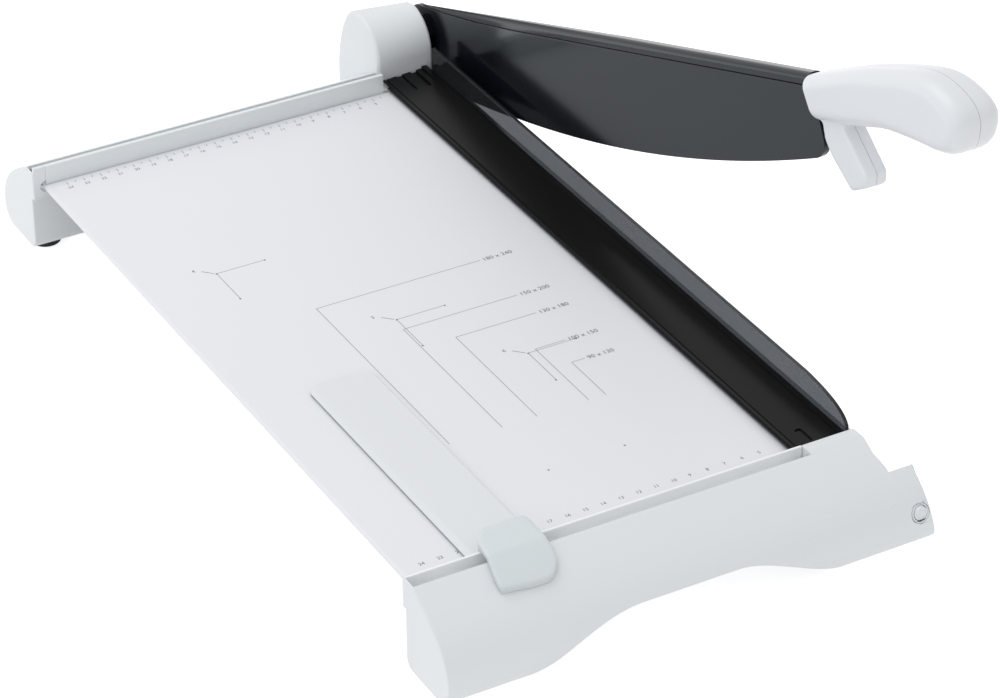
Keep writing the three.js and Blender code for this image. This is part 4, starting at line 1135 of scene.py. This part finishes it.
def arm_line(first, last, steps, lift):
    """Points along the blade's edge line, lifted."""
    reaches = [first + (last - first) * step / steps for step in range(steps + 1)]
    return [(reach, blade_edge(reach) + lift) for reach in reaches]


def blade_outline(grow):
    """The blade's outline: a round end about the hinge, the curved edge and the straight back."""
    end = ROOT_BOTTOM
    low = blade_edge(end)
    toe = end - BLADE_TOE
    back = [(end, BEAD_UNDER - 0.05), *BLADE_BACK]
    return [
        *arc(0, 0, ARM_TOP, 90, 250, 24),
        *curved((-6.1, -16.8), (2, -22), (10, -28), (BLADE_START, blade_edge(BLADE_START)), 8)[:-1],
        *arm_line(BLADE_START, toe, 60, 0),
        *curved((toe, blade_edge(toe)), (end - 3, low), (end, low + 3), (end, low + BLADE_TOE), 10),
        *((reach, height + grow) for reach, height in back),
    ]


def add_bead():
    """The rounded bar along the arm's top, which narrows to almost nothing towards the pivot."""
    section = rounded([(BEAD_LEFT, BEAD_UNDER), (BEAD_RIGHT, BEAD_UNDER),
                       (BEAD_RIGHT, ARM_TOP, 2.4), (BEAD_LEFT, ARM_TOP, 3.4)], 8)
    bead = drawn_out("reach", section, 0, ROOT_BOTTOM)
    pick(bead)
    bpy.ops.object.mode_set(mode="EDIT")
    bpy.ops.mesh.select_all(action="SELECT")
    along = placed("arm", 1, 0, 0) - placed("arm", 0, 0, 0)
    bpy.ops.mesh.bisect(plane_co=placed("arm", BEAD_TAPER, 0, 0), plane_no=along.normalized())
    bpy.ops.object.mode_set(mode="OBJECT")
    side = at(BEAD_LEFT, 0, 0).x
    root = placed("arm", 0, 0, 0)
    for vertex in bead.data.vertices:
        if (vertex.co - root).dot(along) / MM**2 < BEAD_TAPER / 2:
            vertex.co.x = side + (vertex.co.x - side) * BEAD_NARROW
    return bead


def add_arm():
    """The bar with its bead and hub, the room for the blade, and the tang inside the handle."""
    top = ARM_TOP - ARM_SHOULDER
    web = [(0, 10), (0, -ARM_TOP), *arm_line(BLADE_HEEL, ROOT_BOTTOM, 40, WEB_LIFT),
           (ROOT_BOTTOM, top), (BLADE_HEEL, top)]
    body = drawn_out("arm", web, WEB_NEAR, WEB_FAR)
    join(
        body,
        add_bead(),
        rod("arm", 0, 0, HUB_RADIUS, WEB_NEAR, HUB_FAR, 0, 96),
    )
    cut(
        body,
        beyond_arm(-FIT / 2),
        drawn_out("arm", blade_outline(0.05), ARM_SIDE - 1, BLADE_FAR + 0.1),
    )
    join(body, drawn_out("arm", tang_outline(0), WEB_NEAR + 0.1, WEB_FAR - 0.1))
    head_room, depth = BLADE_HEAD_ROOM
    depths = (WEB_FAR - depth, WEB_FAR + OVERRUN)
    for reach in BLADE_SCREWS:
        cut(body, rod("arm", reach, BLADE_SCREW_HEIGHT, head_room, *depths))
    cut(body, hinge_hole())
    for reach in GRIP_SCREWS:
        cut(body, rod("arm", reach, GRIP_SCREW_HEIGHT, GRIP_SCREW_HOLE, 0, 14))
    break_edges(body, METAL_EDGE)
    finished(body, "arm_bar", arm_coat, "arm", "arm", "arm_beam")


def add_blade():
    body = drawn_out("arm", blade_outline(0), ARM_SIDE, BLADE_FAR)
    cut(body, beyond_arm(-FIT / 2), hinge_hole())
    break_edges(body, FIRM_EDGE)
    finished(body, "swing_blade", arm_coat, "arm", "arm", "upper_blade")


# Handle
def grip_body():
    points = [(ROOT_TOP + GRIP_LENGTH * along, GRIP_HEIGHT * high) for along, high in GRIP_OUTLINE]
    line = through(points, 4)
    body = drawn_out("arm", line, HANDLE_MIDDLE - GRIP_HALF, HANDLE_MIDDLE + GRIP_HALF)
    soften(body, GRIP_EDGE, 7, 55)
    middle_x = at(HANDLE_MIDDLE, 0, 0).x
    axis = (placed("arm", 1, 0, 0) - placed("arm", 0, 0, 0)) / MM
    root = placed("arm", ROOT_TOP, 0, 0)
    for vertex in body.data.vertices:
        share = (vertex.co - root).dot(axis) / MM / GRIP_LENGTH
        vertex.co.x = middle_x + (vertex.co.x - middle_x) * (1 + GRIP_FLARE * share)
    return body


def prong_outline():
    """The prong under the grip's root, in reach and height."""
    root = ROOT_BOTTOM
    return rounded([
        (root, 12), (root, -14), (root + 4, -22.3), (root + 17, -38.3, 3.4),
        (root + 30.9, -35.1, 2.6), (root + 33.5, -28.8, 2.6), (root + 17.5, -4), (root + 17.5, 12),
    ])


def add_handle():
    """The grip with its prong, melted into one and split into two shells. Its root leaves room for
    the lower knife, which it passes when the arm is closed."""
    body = grip_body()
    join(
        body,
        drawn_out("arm", prong_outline(), PRONG_NEAR, PRONG_FAR, PRONG_EDGE, 3),
        common(drawn_out("reach", GUSSET, ROOT_TOP, ROOT_TOP + GUSSET_REACH),
               drawn_out("arm", prong_outline(), -BEYOND, BEYOND)),
    )
    melt(body, *GRIP_MELT)
    common(body, beyond_arm(FIT / 2))
    cut(body, drawn_out("arm", tang_outline(FIT), WEB_NEAR - FIT, WEB_FAR + FIT),
        drawn_out("arm", KNIFE_ROOM, -BEYOND, KNIFE_ROOM_RIGHT))
    pick(body)
    bpy.ops.object.duplicate()
    other = bpy.context.object
    side = rectangle(TANG[0], ARM_END, -BEYOND, BEYOND)
    common(body, drawn_out("arm", side, -BEYOND, HANDLE_MIDDLE - HANDLE_SEAM))
    common(other, drawn_out("arm", side, HANDLE_MIDDLE + HANDLE_SEAM, BEYOND))
    for reach in GRIP_SCREWS:
        cut(body, rod("arm", reach, GRIP_SCREW_HEIGHT, GRIP_SCREW_HOLE, 1.2, 7.2))
        cut(other, rod("arm", reach, GRIP_SCREW_HEIGHT, GRIP_SCREW_HOLE, 0, 16))
        cut(other, rod("arm", reach, GRIP_SCREW_HEIGHT, SCREW_HEAD + 0.5, 11.7, 40))
    finished(body, "grip_left", handle_plastic, "handle", "arm", "handle_left", angle=50)
    finished(other, "grip_right", handle_plastic, "handle", "arm", "handle_right", angle=50)


# Sliding gauge
def add_gauge():
    section = [
        (GAUGE_LEFT, GAUGE_UNDER), (GAUGE_RIGHT, GAUGE_UNDER), (GAUGE_RIGHT, GAUGE_TOP - 0.3),
        (GAUGE_RIGHT - 0.5, GAUGE_TOP), (GAUGE_LEFT + GAUGE_BEVEL, GAUGE_TOP),
        (GAUGE_LEFT, GAUGE_EDGE),
    ]
    bar = drawn_out("y", section, GAUGE_FRONT, GAUGE_REACH)
    outline = rounded([(GAUGE_LEFT, GAUGE_FRONT, 7), (GAUGE_RIGHT, GAUGE_FRONT, 2),
                       (GAUGE_RIGHT, GAUGE_REACH, 5), (GAUGE_LEFT, GAUGE_REACH, 5)], 8)
    common(bar, drawn_out("z", outline, -1, 4))
    soften(bar, 0.15, 2)
    finished(bar, "gauge_strip", frosted_plastic, "gauge", "gauge", "gauge_bar")


def add_saddle():
    """The gauge's carrier, which follows the front casing's curve from above the stop."""
    low = (CASING_DEPTH + FIT, CASING_FLOOR + CASING_ROUND)
    cheek = (CHEEK[0] + FIT, CHEEK[1])
    brow = (BROW[0] + FIT, BROW[1] + FIT)
    rest = STOP_HEIGHT + FIT
    line = curved(low, cheek, brow, (CASING_MOUTH, rest), 40)
    under = [point for point in line if point.x < SADDLE_FALL]
    over = [point + Vector((0, SADDLE_HEIGHT)) for point in reversed(under)]
    section = [
        (-SADDLE_REACH, SADDLE_UNDER), (-GAUGE_FRONT, SADDLE_UNDER), (-GAUGE_FRONT, rest),
        *reversed(under), *reversed(over), (-SADDLE_REACH + 3, rest + SADDLE_HEIGHT),
        (-SADDLE_REACH, rest),
    ]
    saddle = drawn_out("x", facing(section, FRONT), SADDLE_LEFT - OVERRUN, SADDLE_RIGHT + OVERRUN)
    common(saddle, drawn_out("z", rounded(SADDLE_PLAN, 10), -BEYOND, BEYOND))
    melt(saddle, *SADDLE_MELT)
    finished(saddle, "gauge_carrier", carrier_plastic, "gauge", "gauge", "gauge_saddle", angle=60)


# Feet and screws
def add_feet():
    for name, (x, y) in FEET.items():
        foot = rod("z", x, y, FOOT_RADIUS, FOOT_BOTTOM, CASING_FLOOR - FIT, 0.8)
        low = FOOT_BOTTOM - OVERRUN
        head_room = rod("z", x, y, FOOT_SCREW_HEAD, low, FOOT_HEAD_TOP)
        cut(foot, head_room, rod("z", x, y, FOOT_SCREW_HOLE, low, CASING_FLOOR + 2))
        finished(foot, f"rubber_foot_{name}", foot_rubber, "rubber", "base", f"foot_{name}")


def screw_piece(reach, height, near, head, far):
    """A screw along X in the arm, with a hexagon socket in its head."""
    screw = join(
        rod("arm", reach, height, SCREW_HEAD, head, far, 0.4, 36),
        rod("arm", reach, height, SCREW_SHANK, near, head + 0.2, 0, 24),
    )
    return cut(screw, rod("arm", reach, height, SCREW_SOCKET, far - 1.3, far + 1, 0, 6))


def add_screws():
    for i, reach in enumerate(BLADE_SCREWS):
        screw = screw_piece(reach, BLADE_SCREW_HEIGHT, *BLADE_SCREW_DEPTHS)
        finished(screw, f"blade_bolt_{i + 1}", plated_steel, "steel", "arm", f"blade_screw_{i + 1}")
    for i, reach in enumerate(GRIP_SCREWS):
        screw = screw_piece(reach, GRIP_SCREW_HEIGHT, *GRIP_SCREW_DEPTHS)
        finished(screw, f"grip_bolt_{i + 1}", plated_steel, "steel", "arm", f"handle_screw_{i + 1}")


def add_hinge_shaft():
    near, head, far = SHAFT_DEPTHS
    shaft = join(
        rod("arm", 0, 0, SHAFT_HEAD, head, far, 1, 64),
        rod("arm", 0, 0, SHAFT_RADIUS, near, head + 0.7, 0.5, 48),
    )
    cut(shaft, rod("arm", 0, 0, SHAFT_SOCKET, head + 0.5, far + 2.2, 0, 6))
    finished(shaft, "hinge_shaft", plated_steel, "steel", "arm", "pivot_shaft")


add_table()
add_front_stop()
add_rear_stop()
add_front_casing()
add_rear_casing()
add_pivot_housing()
add_latch()
add_clamp()
add_guard()
add_arm()
add_blade()
add_handle()
add_gauge()
add_saddle()
add_feet()
add_screws()
add_hinge_shaft()


# Printed marks on the table
def ink_line(x, y, length, width):
    """A printed line from one corner, its length along X and its width along Y."""
    bpy.ops.mesh.primitive_plane_add(size=1, location=at(x + length / 2, y + width / 2, INK_HEIGHT))
    line = bpy.context.object
    line.scale = (length * MM, width * MM, 1)
    return line


def ink_text(words, x, y, size):
    """A printed numeral or size, its lower left corner at this place."""
    bpy.ops.object.text_add(location=at(x, y, INK_HEIGHT))
    text = bpy.context.object
    text.data.body = words
    text.data.size = size * MM
    text.data.resolution_u = 4
    bpy.ops.object.convert(target="MESH")
    return bpy.context.object


def ink_dot(x, y):
    bpy.ops.mesh.primitive_circle_add(
        vertices=SHEET_DOT_SIDES, radius=SHEET_DOT * MM / 2, fill_type="NGON",
        location=at(x, y, INK_HEIGHT),
    )
    return bpy.context.object


def add_print(pieces, name, ink):
    """Several printed marks made one piece on the table."""
    pick(*pieces)
    bpy.ops.object.join()
    dress(settle(bpy.context.object, name), ink, "base")


def add_scales():
    """The rear and front centimetre scales, counted from the cutting line."""
    depth = TABLE_DEPTH
    lines = []
    numerals = []
    for mark in range(FIRST_MARK, LAST_MARK + 1):
        x = -mark * SCALE_STEP
        rear_y = depth - REAR_TICK_START - REAR_TICK_LONG
        lines.append(ink_line(x, rear_y, INK_LINE, REAR_TICK_LONG))
        below = rear_y - NUMERAL_SIZE - NUMERAL_GAP / 2
        numerals.append(ink_text(str(mark), x - NUMERAL_GAP, below, NUMERAL_SIZE))
        half_x = x + SCALE_STEP / 2
        lines.append(ink_line(half_x, depth - REAR_TICK_START - REAR_TICK_SHORT, INK_LINE,
                              REAR_TICK_SHORT))
        numerals.append(ink_text(str(mark), x - NUMERAL_GAP, FRONT_NUMERAL_PLACE, NUMERAL_SIZE))
    add_print(lines, "scale_ticks", print_ink)
    add_print(numerals, "scale_numerals", print_ink_dark)


def add_format_marks():
    """Corner lines of common picture sizes, each with its size in millimetres."""
    lines = []
    labels = []
    for width, depth in FORMATS:
        lines.append(ink_line(-width, depth, width - FORMAT_LABEL_START, INK_LINE))
        lines.append(ink_line(-width, FORMAT_LINE_END, INK_LINE, depth - FORMAT_LINE_END))
        labels.append(ink_text(f"{width} x {depth}", -FORMAT_LABEL_START + NUMERAL_GAP,
                               depth - NUMERAL_GAP, FORMAT_LABEL_SIZE))
    add_print(lines, "format_lines", print_ink)
    add_print(labels, "format_labels", print_ink_dark)


def add_sheet_marks():
    """Corner crosses of the standard sheets, each with its number and two end dots."""
    lines = []
    dark = []
    for width, depth, number in SHEETS:
        lines.append(ink_line(-width, depth, SHEET_ARM, INK_LINE))
        lines.append(ink_line(-width, depth - SHEET_ARM, INK_LINE, SHEET_ARM))
        dark.append(ink_dot(-width + SHEET_ARM, depth))
        dark.append(ink_dot(-width, depth - SHEET_ARM))
        dark.append(ink_dot(-width, depth))
        tail = ink_line(-width, depth, SHEET_TAIL, INK_LINE)
        tail.location = at(-width - SHEET_TAIL / 2, depth + SHEET_TAIL / 2, INK_HEIGHT)
        tail.rotation_euler.z = -math.pi / 4
        dark.append(tail)
        dark.append(ink_text(str(number), -width - SHEET_TAIL - SHEET_LABEL_SIZE,
                             depth + SHEET_TAIL, SHEET_LABEL_SIZE))
    for width, _, _ in SHEETS[1:]:
        dark.append(ink_dot(-width, LOW_DOT_PLACE))
    add_print(lines, "sheet_lines", print_ink)
    add_print(dark, "sheet_crosses", print_ink_dark)


add_scales()
add_format_marks()
add_sheet_marks()


# Floor, light and camera
def seen_directly(graph):
    """One for the rays of the camera, of mirrors and through glass, zero for those that light."""
    path = graph.add("ShaderNodeLightPath").outputs
    seen = graph.math("MAXIMUM", path["Is Camera Ray"], path["Is Glossy Ray"])
    return graph.math("MAXIMUM", seen, path["Is Transmission Ray"])


def whitened(name, base, strength, bounce):
    """A stage material that shows white where it is seen directly, with soft shadows."""
    material, graph, principled = new_material(name)
    principled.inputs["Base Color"].default_value = base
    principled.inputs["Roughness"].default_value = 0.9
    principled.inputs["Specular IOR Level"].default_value = 0
    limits = {"Value": seen_directly(graph), "To Min": bounce, "To Max": strength}
    glow = graph.add("ShaderNodeMapRange", limits)
    principled.inputs["Emission Color"].default_value = WHITE
    graph.link(glow.outputs["Result"], principled.inputs["Emission Strength"])
    return material


def add_floor():
    bpy.ops.mesh.primitive_plane_add(size=FLOOR_SIZE, location=(0, 0, cad_low.z))
    floor = settle(bpy.context.object, "floor")
    floor.data.materials.append(whitened("pale floor", FLOOR_BASE, FLOOR_GLOW, FLOOR_BOUNCE))


def add_world():
    """Even studio light, with a white background for what sees it directly."""
    world = bpy.data.worlds.new("studio")
    bpy.context.scene.world = world
    world.use_nodes = True
    graph = Graph(world.node_tree)
    background = world.node_tree.nodes["Background"]
    limits = {"Value": seen_directly(graph), "To Min": AMBIENT, "To Max": 1.0}
    strength = graph.add("ShaderNodeMapRange", limits)
    background.inputs["Color"].default_value = WHITE
    graph.link(strength.outputs["Result"], background.inputs["Strength"])


def add_lamp(name, place, target, size, power):
    bpy.ops.object.light_add(type="AREA", location=place)
    lamp = bpy.context.object
    lamp.name = name
    lamp.data.shape = "DISK"
    lamp.data.size = size
    lamp.data.energy = power
    lamp.rotation_euler = (target - Vector(place)).to_track_quat("-Z", "Y").to_euler()


def add_camera():
    """The photograph's view."""
    camera_data = bpy.data.cameras.new("camera")
    camera = bpy.data.objects.new("camera", camera_data)
    bpy.context.scene.collection.objects.link(camera)
    camera_data.sensor_width = SENSOR_WIDTH
    camera_data.lens = FOCAL_PIXELS / PICTURE_WIDTH * SENSOR_WIDTH
    camera_data.clip_end = 100
    turn = Euler((math.radians(90 - CAMERA_TILT), 0, math.radians(-CAMERA_TURN))).to_matrix()
    roll = Matrix.Rotation(math.radians(CAMERA_ROLL), 3, "Z")
    camera.matrix_world = Matrix.Translation(at(*CAMERA_PLACE)) @ (turn @ roll).to_4x4()
    bpy.context.scene.camera = camera


add_floor()
add_world()
middle = (cad_low + cad_high) / 2
add_lamp("key lamp", middle + Vector(KEY_PLACE), middle, KEY_SIZE, KEY_POWER)
add_lamp("fill lamp", middle + Vector(FILL_PLACE), middle, FILL_SIZE, FILL_POWER)
add_camera()
bpy.context.scene.view_settings.view_transform = "Standard"
